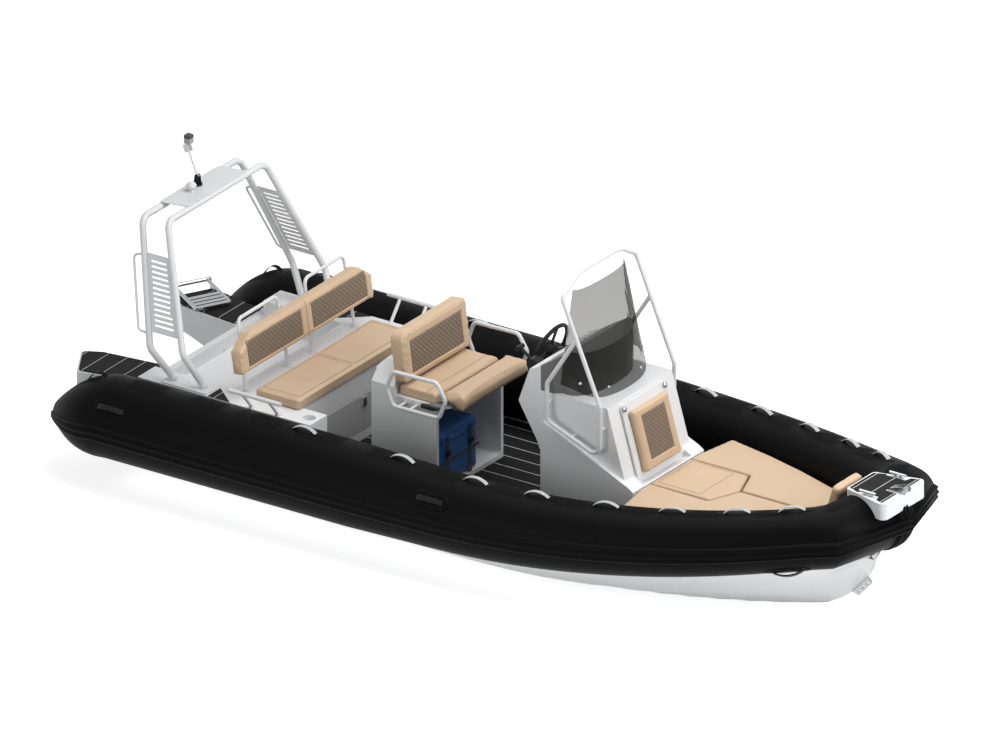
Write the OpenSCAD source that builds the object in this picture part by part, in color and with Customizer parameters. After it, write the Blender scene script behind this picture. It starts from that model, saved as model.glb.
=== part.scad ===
// Rigid inflatable boat with a centre console, a helm seat, a stern bench and a roll bar.
// X runs forward to the bow, Y to port and Z up. The origin lies on the waterline, on the
// centreline, about amidships. All sizes are in millimetres.

/* [Hull] */
// Depth of the keel line below the waterline
draft = 260; // [230:5:290]
// Height of the hull's deck above the waterline
deck_z = 155; // [140:1:165]
// Half width of the hull at the chine
chine_y = 800; // [760:5:830]
// Height of the chine above the waterline, aft
chine_z = 30; // [0:5:60]
// Rise of the chine from amidships to the bow
chine_rise = 360; // [330:5:380]
// Position of the aft end of the hull
hull_aft_x = -2400; // [-2450:10:-2350]
// Position where the keel starts to rise to the stem
stem_start_x = 1100; // [900:10:1200]
// Position of the stem head
stem_head_x = 2700; // [2695:1:2710]
// Rise of the stem from the keel to its head
stem_rise = 727; // [700:1:735]
// Height of the closed foredeck above the waterline
foredeck_z = 425; // [410:1:426]
// Thickness of the foam mat on the deck
mat_t = 8; // [5:1:12]
// Thickness of the transom plate
transom_t = 50; // [40:1:65]
// Height of the transom's top edge above the waterline
transom_z = 540; // [500:5:560]

/* [Tubes] */
// Distance from the centreline to the tube's axis, aft
tube_y = 975; // [965:1:990]
// Height of the tube's axis above the waterline, aft
tube_z = 422; // [415:1:430]
// Radius of the tube at the stern
tube_r = 270; // [255:1:275]
// Radius of the tube at the bow
tube_bow_r = 200; // [190:1:204]
// Rise of the tube's axis from amidships to the bow corner
sheer_rise = 250; // [240:1:260]
// Position where the tubes start to curve inwards
bend_x = 150; // [100:10:200]
// Plan radius of the tube's inward curve
bend_r = 5500; // [5450:10:5700]
// Position of the mitred bow corners
corner_x = 2600; // [2580:1:2610]
// Position of the tube's axis at the bow's centre
nose_x = 2730; // [2720:1:2740]
// Length of the stern cones
cone_len = 430; // [380:5:450]
// Radius of the blunt end of the stern cones
cone_end_r = 68; // [50:1:90]
// Width of the rub strake's outer ridge above the tube
strake_h = 24; // [14:1:30]
// Length of a grab strap
strap_len = 170; // [140:5:190]
// Rise of a grab strap above the tube
strap_rise = 30; // [24:1:36]

/* [Stern] */
// Height of the side decks above the waterline
side_z = 640; // [620:1:660]
// Distance from the centreline to the side deck's inner edge
side_in_y = 600; // [580:5:620]
// Forward end of the side decks
side_fore_x = -1090; // [-1150:10:-1050]
// Height of the stern well's floor above the waterline
well_z = 450; // [400:5:480]
// Aft side of the bench locker
bench_aft_x = -1800; // [-1830:5:-1790]
// Forward side of the bench locker
bench_fore_x = -1290; // [-1310:5:-1270]
// Thickness of locker and pod walls
wall_t = 25; // [15:1:35]
// Half width of the bench cushion
bench_pad_y = 665; // [640:5:680]
// Thickness of the bench cushion
bench_pad_t = 68; // [50:1:90]
// Thickness of the bench backrest
back_pad_t = 86; // [60:1:92]
// Angle at which the bench backrest leans aft
back_lean = 9; // [5:1:12]
// Height of the swim platforms above the waterline
platform_z = 540; // [530:1:560]
// Depth of a swim platform's box at the transom
platform_depth = 300; // [240:5:340]
// Thickness of the foam mats on the platforms
platform_mat_t = 10; // [6:1:14]

/* [Roll bar] */
// Radius of the roll bar's pipe
bar_r = 22; // [18:1:25]
// Height of the forward hoop's crossbar above the side decks
bar_rise = 989; // [950:1:1020]
// Half width of the hoops at their knees
bar_knee_y = 793; // [780:1:810]
// Half width of the hoops at their top corners
bar_top_y = 540; // [500:1:580]
// Length of the light mast from its pivot to its head
mast_len = 215; // [180:5:260]
// Angle at which the light mast leans aft
mast_lean = 23; // [10:1:35]

/* [Helm seat] */
// Aft side of the seat pod
pod_aft_x = -910; // [-930:5:-890]
// Forward side of the seat pod
pod_fore_x = -412; // [-420:1:-405]
// Half width of the seat pod
pod_y = 370; // [350:1:385]
// Height of the seat board above the floor
pod_h = 622; // [600:1:640]
// Thickness of the seat cushion
seat_pad_t = 70; // [50:1:80]
// Thickness of the flip-up bolster
bolster_t = 99; // [85:1:105]
// Length of the flip-up bolster, fore and aft
bolster_len = 185; // [170:1:190]

/* [Console] */
// Half width of the console's upper part
console_y = 360; // [340:1:370]
// Half width of the console's foot
foot_y = 396; // [385:1:410]
// Radius of the steering wheel to the middle of its rim
wheel_r = 170; // [150:1:180]
// Radius of the steering wheel's rim
rim_r = 14; // [11:1:17]
// Distance from the dash to the steering wheel's rim
wheel_reach = 80; // [75:1:100]
// Radius of the windscreen frame's pipe
frame_r = 14; // [12:1:16]
// Thickness of the windscreen
glass_t = 6; // [4:1:8]

/* [Bow] */
// Height of the bow cushions' top above the floor
bow_seat_h = 437; // [420:1:450]
// Thickness of the bow cushions
bow_pad_t = 65; // [50:1:80]
// Height of the bow step's top above the waterline
step_z = 905; // [903:1:920]

/* [Hidden] */
$fn = 32;

// Gap between pieces that rest on each other
seat_gap = 0.3;
// Gap between a moving piece and what is round it
move_gap = 5;
// Gap between a pin and its bore
pin_gap = 0.05;

// Floor that the furniture stands on
floor_z = deck_z + mat_t;

// Small helpers
function unit(v) = v / norm(v);
function mix(a, b, t) = a + (b - a) * t;
function clamp01(t) = min(1, max(0, t));
function rev(list) = [for (i = [len(list) - 1 : -1 : 0]) list[i]];
function mirror_y(pts) = [for (p = pts) [p[0], -p[1]]];

// Outline whose corners are rounded: radii is one number or one number per corner
function corner_arc(a, b, c, r, n) =
    let(
        u = unit(a - b),
        w = unit(c - b),
        half = acos(u * w) / 2,
        centre = b + unit(u + w) * r / sin(half),
        s = b + u * r / tan(half) - centre,
        e = b + w * r / tan(half) - centre,
        from = atan2(s[1], s[0]),
        sweep = ((atan2(e[1], e[0]) - from + 540) % 360) - 180
    )
    [for (i = [0 : n]) centre + r * [cos(from + sweep * i / n), sin(from + sweep * i / n)]];
function rounded(pts, radii, n = 5) = [
    for (i = [0 : len(pts) - 1])
        let(r = is_list(radii) ? radii[i] : radii, k = len(pts))
        each (r > 0 ? corner_arc(pts[(i + k - 1) % k], pts[i], pts[(i + 1) % k], r, n) : [pts[i]])
];
function box_outline(x0, x1, y0, y1) = [[x0, y0], [x1, y0], [x1, y1], [x0, y1]];
// Half outline with its mirror image, for shapes that are alike to port and starboard
function both_halves(pts) = concat(pts, rev(mirror_y(pts)));

module slab_x(pts, x0, x1) {
    translate([x0, 0, 0]) rotate([90, 0, 90]) linear_extrude(x1 - x0) polygon(pts);
}
module slab_y(pts, y0, y1) {
    translate([0, y1, 0]) rotate([90, 0, 0]) linear_extrude(y1 - y0) polygon(pts);
}
module slab_z(pts, z0, z1) {
    translate([0, 0, z0]) linear_extrude(z1 - z0) polygon(pts);
}
module both_sides() {
    children();
    mirror([0, 1, 0]) children();
}

// Pipe with round bends through a list of points; each elbow is a thin sleeve over the straights
sleeve = 0.3;
sleeve_lap = 2;
function bend_cut(a, b, c, bend) = bend * tan(acos(unit(b - a) * unit(c - b)) / 2);
function bend_at(bend, i) = is_list(bend) ? bend[i] : bend;
module along(a, b) {
    d = unit(b - a);
    translate(a) rotate([0, acos(d[2]), atan2(d[1], d[0])]) children();
}
module rod(a, b, r) {
    along(a, b) cylinder(r = r, h = norm(b - a));
}
module elbow(a, b, c, r, bend) {
    u = unit(b - a);
    turn = acos(u * unit(c - b));
    axis = unit(cross(u, c - b));
    inward = cross(axis, u);
    centre = b - u * bend_cut(a, b, c, bend) + inward * bend;
    multmatrix([
        [-inward[0], u[0], axis[0], centre[0]],
        [-inward[1], u[1], axis[1], centre[1]],
        [-inward[2], u[2], axis[2], centre[2]],
        [0, 0, 0, 1]
    ])
    rotate_extrude(angle = turn) translate([bend, 0]) circle(r + sleeve);
}
module bent_pipe(pts, r, bend, closed = false) {
    k = len(pts);
    last = k - 1;
    for (i = [0 : closed ? last : last - 1]) {
        a = pts[i];
        b = pts[(i + 1) % k];
        d = unit(b - a);
        bent_a = closed || i > 0;
        bent_b = closed || i + 1 < last;
        cut_a = bent_a ? bend_cut(pts[(i + k - 1) % k], a, b, bend_at(bend, i)) - sleeve_lap : 0;
        cut_b = bent_b ? bend_cut(a, b, pts[(i + 2) % k], bend_at(bend, (i + 1) % k)) - sleeve_lap : 0;
        rod(a + d * cut_a, b - d * cut_b, r);
    }
    for (i = [closed ? 0 : 1 : closed ? last : last - 1])
        elbow(pts[(i + k - 1) % k], pts[i], pts[(i + 1) % k], r, bend_at(bend, i));
}

// Skin through a list of rings with the same count of points, closed by a flat cap at each end
module loft(rings) {
    k = len(rings[0]);
    n = len(rings);
    polyhedron(
        [for (ring = rings) each ring],
        concat(
            [[for (j = [0 : k - 1]) j]],
            [for (i = [0 : n - 2], j = [0 : k - 1]) [i * k + j, (i + 1) * k + j, i * k + (j + 1) % k]],
            [for (i = [0 : n - 2], j = [0 : k - 1])
                [i * k + (j + 1) % k, (i + 1) * k + j, (i + 1) * k + (j + 1) % k]],
            [[for (j = [k - 1 : -1 : 0]) (n - 1) * k + j]]
        )
    );
}

// Path of the tube's axis to port: straight aft, then an arc, then a mitred bow piece
corner_y = path_y(corner_x);
corner_heading = heading(corner_x);
nose_heading = atan2(-corner_y, nose_x - corner_x);
function path_y(x) = x <= bend_x ? tube_y : tube_y - (bend_r - sqrt(pow(bend_r, 2) - pow(x - bend_x, 2)));
function path_z(x) = x <= 0 ? tube_z : tube_z + sheer_rise * pow(x / corner_x, 2);
function heading(x) = x <= bend_x ? 0 : -asin((x - bend_x) / bend_r);
taper_aft_x = -600;
taper_fore_x = 2300;
function path_r(x) =
    mix(tube_r, tube_bow_r, clamp01((x - taper_aft_x) / (taper_fore_x - taper_aft_x)));
tube_aft_x = hull_aft_x - transom_t;
cone_drop = 60;
cone_power = 2.2;
// Share of the cone's length at each of its rings
cone_steps = [1, 0.94, 0.84, 0.7, 0.54, 0.36, 0.18];
function cone_r(s) = mix(tube_r, cone_end_r, pow(s, cone_power));
bend_count = 14;
bend_step = (corner_x - bend_x) / bend_count;
// Positions of the rings that the hull and the tubes share
mitre_room = 100;
shared_x = concat(
    [hull_aft_x, -1500, -600],
    [for (i = [0 : bend_count - 1]) bend_x + i * bend_step],
    [corner_x - mitre_room]
);

// Ring of the path: [x, y, z, r, heading, widening at a mitre]
function plain_ring(x) = [x, path_y(x), path_z(x), path_r(x), heading(x), 1];
function cone_ring(s) = [tube_aft_x - cone_len * s, tube_y, tube_z - cone_drop * s, cone_r(s), 0, 1];
function mitre_ring() = [
    corner_x, corner_y, path_z(corner_x), path_r(corner_x),
    (corner_heading + nose_heading) / 2, 1 / cos((corner_heading - nose_heading) / 2)
];
function nose_ring() = [nose_x, 0, path_z(nose_x), tube_bow_r, -90, 1 / cos(nose_heading + 90)];
tube_rings = concat(
    [for (s = cone_steps) cone_ring(s)],
    [plain_ring(tube_aft_x)],
    [for (x = shared_x) plain_ring(x)],
    [mitre_ring(), nose_ring()]
);
// Point on a ring at an angle: 0 outboard, 90 on top, 180 inboard; lift is the height above the skin
function skin(ring, angle, lift = 0) =
    let(reach = (ring[3] + lift) * ring[5] * cos(angle))
    [
        ring[0] - sin(ring[4]) * reach,
        ring[1] + cos(ring[4]) * reach,
        ring[2] + (ring[3] + lift) * sin(angle)
    ];
tube_sides = 20;
side_angle = 360 / tube_sides;
// Half breadth that is free between the tubes at a position
function inner_y(x) = path_y(x) - path_r(x) / cos(heading(x));

module tube() {
    loft([for (ring = tube_rings) [for (j = [0 : tube_sides - 1]) skin(ring, j * side_angle)]]);
}
module tube_port() { color([0.06, 0.06, 0.065]) tube(); }
module tube_starboard() { color([0.06, 0.06, 0.065]) mirror([0, 1, 0]) tube(); }

// Rub strake: [angle, share of the ridge's height] round its outline
strake_outline = [
    [-15, 0], [-15, 0.5], [-9, 1], [-4, 0.75], [4, 0.75], [9, 1], [15, 0.5], [15, 0], [0, 0]
];
strake_seat = 0.5;
bow_joint_gap = 1;
function clip_bow(p) = [p[0], max(p[1], bow_joint_gap), p[2]];
module rub_strakes() {
    color([0.05, 0.05, 0.055]) both_sides() loft([
        for (ring = tube_rings)
            [for (p = strake_outline) clip_bow(skin(ring, p[0], strake_seat + p[1] * strake_h))]
    ]);
}

// A band bent in an arc over the tube, both ends on its skin
module arc_band(length, rise, width, thick) {
    r = (pow(length / 2, 2) + pow(rise, 2)) / (2 * rise);
    half = asin(length / 2 / r);
    translate([0, 0, rise - r]) rotate([90, 0, 0]) rotate([0, 0, 90 - half])
        rotate_extrude(angle = 2 * half) translate([r - thick / 2, -width / 2]) square([thick, width]);
}
// Ring between two built rings, at any position along the straight and curved stretch
function column(k) = [for (x = concat([tube_aft_x], shared_x)) [x, plain_ring(x)[k]]];
path_table = [for (k = [1 : 3]) column(k)];
function ring_at(x) = [x, lookup(x, path_table[0]), lookup(x, path_table[1]), lookup(x, path_table[2]), heading(x), 1];
// Places a band on the tube, its ends on the skin at an angle round the tube
module on_tube(x, angle, lift, length) {
    reach = length / 2 * cos(heading(x));
    a = skin(ring_at(x - reach), angle, lift);
    b = skin(ring_at(x + reach), angle, lift);
    ex = unit(b - a);
    out = [-sin(heading(x)) * cos(angle), cos(heading(x)) * cos(angle), sin(angle)];
    ez = unit(out - ex * (ex * out));
    ey = cross(ez, ex);
    c = (a + b) / 2;
    multmatrix([
        [ex[0], ey[0], ez[0], c[0]],
        [ex[1], ey[1], ez[1], c[1]],
        [ex[2], ey[2], ez[2], c[2]],
        [0, 0, 0, 1]
    ])
    children();
}
strap_x = [2385, 2057, 1654, 1220, 743, 297, -257, -1005];
strap_w = 30;
strap_t = 4;
strap_lift = strap_t / 2 + seat_gap;
module grab_straps() {
    color([0.78, 0.79, 0.8]) both_sides() for (x = strap_x)
        on_tube(x, 90, strap_lift, strap_len) arc_band(strap_len, strap_rise, strap_w, strap_t);
}
// Carry handles: [position, angle round the tube]
carry_places = [[-2330, 36], [90, 36], [2380, -54]];
carry_len = 190;
carry_rise = 26;
carry_w = 34;
carry_t = 9;
carry_lift = carry_t / 2 + seat_gap;
module carry_handles() {
    color([0.04, 0.04, 0.045]) both_sides() for (c = carry_places)
        on_tube(c[0], c[1], carry_lift, carry_len) arc_band(carry_len, carry_rise, carry_w, carry_t);
}

// Hull: keel, chine and a cradle under the tube on each ring, with the deck between
function keel_z(x) =
    let(s = clamp01((x - stem_start_x) / (stem_head_x - stem_start_x)))
    stem_rise * (1 - sqrt(1 - s * s)) - draft;
chine_bend_x = 500;
chine_end_x = 2660;
function chine_half(x) =
    let(s = clamp01((x - chine_bend_x) / (chine_end_x - chine_bend_x)))
    max(chine_y * sqrt(1 - s * s), 4);
function chine_height(x) = chine_z + chine_rise * pow(max(x, 0) / stem_head_x, 2);
foredeck_aft_x = 2225;
function deck_height(x) = x < foredeck_aft_x ? deck_z : foredeck_z;
cradle_angles = [-72, -90, -108];
deck_inset = 12;
// Half breadth of the hull's outside at a height, and the deck's edge inside it
skin_t = 45;
function bottom_y(x, z) =
    let(c = chine_height(x), half = chine_half(x), side = skin(plain_ring(x), cradle_angles[0], seat_gap))
    z < c ? half * (z - keel_z(x)) / (c - keel_z(x)) : half + (side[1] - half) * (z - c) / (side[2] - c);
function deck_edge_y(x, z) =
    min(skin(plain_ring(x), cradle_angles[2], seat_gap)[1] - deck_inset, max(bottom_y(x, z) - skin_t, 20));
function hull_half(x) =
    let(
        ring = plain_ring(x),
        cradle = [for (a = cradle_angles) skin(ring, a, seat_gap)],
        edge = cradle[len(cradle) - 1],
        d = min(deck_height(x), edge[2])
    )
    concat([[x, chine_half(x), chine_height(x)]], cradle, [[x, deck_edge_y(x, d), d]]);
// Ring forward of the bow corners, narrowing to the stem head
bow_rings = [0.35, 0.75];
cradle_drop = 12;
function stem_half(t) =
    let(x = mix(corner_x, stem_head_x, t), y = mix(corner_y - tube_bow_r / 2, 4, t))
    let(z = path_z(corner_x) - tube_bow_r - cradle_drop)
    let(low = max(keel_z(x) + 4, chine_height(x)))
    [
        [x, min(y, max(chine_half(x), 4)), min(low, z - 20)], [x, y, z - 8], [x, y - 1, z - 4],
        [x, y - 2, z - 2], [x, y - 3, min(foredeck_z, z - 3)]
    ];
function hull_ring(keel, half) = concat([keel], half, [for (p = rev(half)) [p[0], -p[1], p[2]]]);
module hull() {
    color([0.93, 0.94, 0.95]) loft(concat(
        [for (x = shared_x) hull_ring([x, 0, keel_z(x)], hull_half(x))],
        [for (t = bow_rings)
            let(x = mix(corner_x, stem_head_x, t)) hull_ring([x, 0, keel_z(x)], stem_half(t))]
    ));
}

// Transom: plate with two lines of bolt holes for an outboard motor
transom_side_y = 690;
bolt_r = 6.5;
upper_bolt_pitch = 327;
lower_bolt_pitch = 250.8;
upper_bolt_drop = 80;
bolt_row_gap = 203;
transom_half = [
    [0, -draft], [chine_y, chine_z], [chine_y, deck_z - 15], [transom_side_y, deck_z + 95],
    [transom_side_y, transom_z], [0, transom_z]
];
module transom() {
    color([0.9, 0.91, 0.92]) difference() {
        slab_x(concat(transom_half, [for (p = rev(transom_half)) if (p[0] > 0) [-p[0], p[1]]]),
            tube_aft_x, hull_aft_x);
        for (s = [-1, 1]) {
            translate([tube_aft_x - 1, s * upper_bolt_pitch / 2, transom_z - upper_bolt_drop])
                rotate([0, 90, 0]) cylinder(r = bolt_r, h = transom_t + 2);
            translate([tube_aft_x - 1, s * lower_bolt_pitch / 2, transom_z - upper_bolt_drop - bolt_row_gap])
                rotate([0, 90, 0]) cylinder(r = bolt_r, h = transom_t + 2);
        }
    }
}

// Deck mat: foam sheet between the bench and the foredeck
mat_edge = 14;
mat_fore_x = bend_x + bend_step * 11;
mat_x = [for (i = [0 : 11]) bend_x + bend_step * i];
function mat_y(x) = deck_edge_y(x, deck_z) - mat_edge;
module deck_mat() {
    neck = side_in_y - 2;
    aft = [[bench_fore_x + 2, neck], [side_fore_x + 2, neck], [side_fore_x + 2, mat_y(side_fore_x)]];
    color([0.09, 0.09, 0.095])
        slab_z(both_halves(concat(aft, [for (x = mat_x) [x, mat_y(x)]])), deck_z, floor_z);
}

// Bow eye: plate under the stem with three holes
eye_t = 14;
eye_depth = 46;
eye_hole_r = 9;
eye_aft_x = corner_x - mitre_room;
eye_fore_x = mix(corner_x, stem_head_x, bow_rings[0]);
eye_dir = unit([eye_fore_x - eye_aft_x, keel_z(eye_fore_x) - keel_z(eye_aft_x)]);
eye_out = [eye_dir[1], -eye_dir[0]];
eye_len = 175;
eye_shift = 10;
eye_base = [eye_aft_x, keel_z(eye_aft_x)] + eye_dir * eye_shift + eye_out * seat_gap;
function eye_point(s, d) = eye_base + eye_dir * s + eye_out * d;
module bow_eye() {
    outline = [eye_point(0, 0), eye_point(20, eye_depth), eye_point(eye_len, eye_depth), eye_point(eye_len, 0)];
    color([0.85, 0.86, 0.87]) difference() {
        slab_y(rounded(outline, [0, 14, 14, 0]), -eye_t / 2, eye_t / 2);
        for (s = [48, 95, 142]) {
            c = eye_point(s, eye_depth * 0.55);
            translate([c[0], eye_t, c[1]]) rotate([90, 0, 0]) cylinder(r = eye_hole_r, h = 2 * eye_t);
        }
    }
}

// Side decks: hollow-looking beams between the well and the tubes, lipped over the tube's shoulder
side_wall_y = 690;
side_lip_y = 795;
side_lip_t = 14;
side_outline = [
    [side_in_y, deck_z], [side_wall_y, deck_z + 30], [side_wall_y, side_z - 100],
    [side_wall_y + 65, side_z - 40], [side_lip_y, side_z - side_lip_t], [side_lip_y, side_z],
    [side_in_y, side_z]
];
cup_r = 42;
cup_depth = 55;
cup_x = side_fore_x - 70;
module side_deck() {
    difference() {
        slab_x(side_outline, hull_aft_x, side_fore_x);
        translate([cup_x, (side_in_y + side_lip_y) / 2, side_z - cup_depth]) cylinder(r = cup_r, h = cup_depth + 1);
    }
}
module side_deck_port() { color([0.94, 0.95, 0.96]) side_deck(); }
module side_deck_starboard() { color([0.94, 0.95, 0.96]) mirror([0, 1, 0]) side_deck(); }
module well_floor() {
    color([0.9, 0.91, 0.92])
        slab_z(box_outline(hull_aft_x, bench_aft_x, -side_in_y, side_in_y), deck_z, well_z);
}

// Bench locker with a door in its front
door_half_y = 420;
door_low_z = deck_z + 62;
door_h = 236;
door_t = 12;
hinge_r = 4;
hinge_len = 24;
hinge_up = 8;
bench_hinge = [bench_fore_x - door_t / 2, door_low_z + move_gap + hinge_up];
module bench_locker() {
    inner = box_outline(bench_aft_x + wall_t, bench_fore_x - wall_t, -side_in_y + wall_t, side_in_y - wall_t);
    color([0.9, 0.91, 0.92]) {
        difference() {
            slab_z(box_outline(bench_aft_x, bench_fore_x, -side_in_y, side_in_y), deck_z, side_z);
            slab_z(inner, deck_z + wall_t, side_z - wall_t);
            slab_x(box_outline(-door_half_y, door_half_y, door_low_z, door_low_z + door_h + 2 * move_gap),
                bench_fore_x - wall_t - 1, bench_fore_x + 1);
        }
        for (s = [-1, 1])
            translate([bench_hinge[0], s * (door_half_y + 4), bench_hinge[1]])
                rotate([s * 90, 0, 0]) cylinder(r = hinge_r, h = 4 + move_gap + hinge_len);
    }
}
module bench_door() {
    latch_y = 98;
    latch_w = 34;
    latch_h = 70;
    leaf_y = door_half_y - move_gap;
    leaf_z = door_low_z + move_gap;
    color([0.82, 0.83, 0.84]) {
        difference() {
            slab_x(box_outline(-leaf_y, leaf_y, leaf_z, leaf_z + door_h), bench_fore_x - door_t, bench_fore_x);
            for (s = [-1, 1])
                translate([bench_hinge[0], s * (leaf_y + 1), bench_hinge[1]])
                    rotate([s * 90, 0, 0]) cylinder(r = hinge_r + pin_gap, h = hinge_len + 3);
        }
        slab_x(box_outline(latch_y - latch_w / 2, latch_y + latch_w / 2, leaf_z + door_h - latch_h, leaf_z + door_h - 4),
            bench_fore_x - 2, bench_fore_x + 10);
    }
}
bench_pad_aft_x = bench_aft_x + 180;
bench_pad_fore_x = bench_fore_x + 35;
module bench_cushion() {
    pad = box_outline(bench_pad_aft_x, bench_pad_fore_x, -bench_pad_y, bench_pad_y);
    color([0.76, 0.62, 0.45])
        slab_z(rounded(pad, 30), side_z + seat_gap, side_z + seat_gap + bench_pad_t);
}

// Bench backrest on two steel hoops; both lean aft by the same angle
hoop_r = 11;
hoop_x = bench_aft_x + 95;
hoop_in_y = 132;
hoop_out_y = 605;
hoop_h = 486;
back_low = 155;
back_h = 268;
back_half = [[0, back_low], [748, back_low], [748, back_low + 168], [618, back_low + back_h], [0, back_low + back_h]];
module leaned_bench() {
    translate([hoop_x, 0, side_z]) rotate([0, -back_lean, 0]) children();
}
module bench_backrest() {
    half = [for (p = rounded(back_half, [0, 24, 30, 30, 0])) p];
    color([0.76, 0.62, 0.45]) leaned_bench()
        slab_x(concat(half, [for (p = rev(half)) if (p[0] > 0) [-p[0], p[1]]]),
            hoop_r + 2 * seat_gap, hoop_r + 2 * seat_gap + back_pad_t);
}
module backrest_hoops() {
    flange_r = 27;
    flange_t = 6;
    color([0.88, 0.89, 0.9]) both_sides() {
        difference() {
            leaned_bench() bent_pipe([
                [0, hoop_in_y, -20], [0, hoop_in_y + 22, hoop_h], [0, hoop_out_y - 18, hoop_h], [0, hoop_out_y, -20]
            ], hoop_r, 45);
            translate([hoop_x - 100, 0, side_z - 100]) cube([200, 1000, 100 + flange_t / 2]);
        }
        for (y = [hoop_in_y, hoop_out_y])
            translate([hoop_x, y, side_z + seat_gap / 3]) cylinder(r = flange_r, h = flange_t);
    }
}
// Side grab rails on two leaning struts
rail_r = 14;
rail_y = 883;
rail_h = 136;
rail_x = [-1643, -1249];
strut_x = [-1545, -1345];
strut_foot_y = 768;
module side_rails() {
    color([0.93, 0.94, 0.95]) both_sides() {
        rod([rail_x[0], rail_y, side_z + rail_h], [rail_x[1], rail_y, side_z + rail_h], rail_r);
        for (x = strut_x) {
            difference() {
                rod([x, strut_foot_y - 8, side_z - 10], [x, rail_y, side_z + rail_h], rail_r - 3);
                translate([x - 50, strut_foot_y - 60, side_z - 60]) cube([100, 120, 60 + 3]);
            }
            translate([x, strut_foot_y, side_z + seat_gap / 3]) cylinder(r = 24, h = 6);
        }
    }
}

// Swim platforms: tapered boxes aft of the transom, with foam mats on top
platform_aft = [-3036, 494];
platform_outer = [-2888, 762];
platform_half = [
    [tube_aft_x, 376], [-2905, 428], platform_aft, platform_outer, [-2760, 735], [-2560, 688], [tube_aft_x, 688]
];
platform_side = [
    [tube_aft_x, platform_z - platform_depth], [tube_aft_x, platform_z], [platform_aft[0] - 10, platform_z],
    [platform_aft[0] - 10, platform_z - platform_depth / 2.4]
];
module platform() {
    intersection() {
        slab_z(platform_half, platform_z - platform_depth - 1, platform_z);
        slab_y([for (p = platform_side) [p[0], p[1] + (p[1] == platform_z ? 1 : 0)]], 300, 800);
    }
}
module platform_port() { color([0.94, 0.95, 0.96]) platform(); }
module platform_starboard() { color([0.94, 0.95, 0.96]) mirror([0, 1, 0]) platform(); }
mat_inset = 12;
platform_mat_half = [
    [tube_aft_x - mat_inset, 376 + mat_inset], [-2905 + 3, 428 + mat_inset], platform_aft + [16, 5],
    platform_outer + [5, -16], [-2760, 735 - mat_inset], [-2560, 688 - mat_inset],
    [tube_aft_x - mat_inset, 688 - mat_inset]
];
module platform_mats() {
    color([0.09, 0.09, 0.095]) both_sides()
        slab_z(rounded(platform_mat_half, [10, 40, 30, 30, 40, 40, 10], 4), platform_z, platform_z + platform_mat_t);
}

// Boarding ladder: folds on the port platform about its slanting aft edge
ladder_half_w = 118;
ladder_rail_r = 12.5;
ladder_len = 330;
ladder_offset = 24;
ladder_up = 62;
ladder_drop = 5;
ladder_pin_r = 6;
ladder_edge = unit(platform_outer - platform_aft);
ladder_in = [ladder_edge[1], -ladder_edge[0]];
ladder_turn = atan2(ladder_in[1], ladder_in[0]);
ladder_pos = (platform_aft + platform_outer) / 2 - ladder_in * ladder_offset;
module ladder_frame() {
    translate([ladder_pos[0], ladder_pos[1], platform_z + ladder_up]) rotate([0, 0, ladder_turn]) children();
}
ladder_ear_y = ladder_half_w + ladder_rail_r + move_gap;
ladder_ear_t = 8;
module ladder_brackets() {
    ear = [
        [ladder_offset - seat_gap / 3, -ladder_up - 60], [ladder_offset - seat_gap / 3, -ladder_up - 2],
        [12, 14], [-14, 14], [-14, -12]
    ];
    color([0.8, 0.81, 0.83]) ladder_frame() both_sides() {
        slab_y(rounded(ear, [0, 0, 8, 8, 8]), ladder_ear_y, ladder_ear_y + ladder_ear_t);
        translate([0, ladder_ear_y + 4, 0]) rotate([90, 0, 0])
            cylinder(r = ladder_pin_r, h = 4 + move_gap + hinge_len);
    }
}
tread_x = [200, 240, 280, 320];
tread_w = 30;
tread_t = 18;
module ladder() {
    tube_half = ladder_half_w + ladder_rail_r;
    color([0.75, 0.76, 0.78]) ladder_frame() rotate([0, ladder_drop, 0]) {
        difference() {
            union() {
                translate([0, tube_half, 0]) rotate([90, 0, 0]) cylinder(r = 14, h = 2 * tube_half);
                for (s = [-1, 1])
                    rod([0, s * ladder_half_w, 0], [ladder_len, s * ladder_half_w, 0], ladder_rail_r);
                for (x = tread_x)
                    translate([x - tread_w / 2, -ladder_half_w, -tread_t / 2]) cube([tread_w, 2 * ladder_half_w, tread_t]);
            }
            for (s = [-1, 1])
                translate([0, s * (tube_half + 1), 0]) rotate([s * 90, 0, 0])
                    cylinder(r = ladder_pin_r + pin_gap, h = hinge_len + 3);
        }
    }
}

// Roll bar: two hoops on the side decks, [position of foot, knee and top corner] for each
bar_foot_y = 720;
fore_hoop_x = [-1950, -2059, -2347];
aft_hoop_x = [-2180, -2308, -2540];
knee_h = 240;
aft_drop = 19;
bar_bend = 85;
foot_boss = 4;
foot_up = 0.62 * bar_r;
bar_plate_t = 10;
foot_z = side_z + bar_plate_t + seat_gap;
function hoop_half(xs, drop) = [
    [xs[0], bar_foot_y, foot_z + foot_up], [xs[1], bar_knee_y, side_z + knee_h - drop],
    [xs[2], bar_top_y, side_z + bar_rise - drop]
];
function hoop_path(half) = concat(half, [for (p = rev(half)) [p[0], -p[1], p[2]]]);
fore_half = hoop_half(fore_hoop_x, 0);
aft_half = hoop_half(aft_hoop_x, aft_drop);
bar_plate = [-2235, -1885];
bar_plate_y = [655, 788];
bar_bolt_x = [-2075, -2010];
bar_bolt_r = 6;
rod_r = 8;
rod_reach = 75;
// Point on a hoop's leg between knee and top corner
function leg(half, t) = mix(half[1], half[2], t);
panel_low = 0.11;
panel_high = 0.72;
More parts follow.
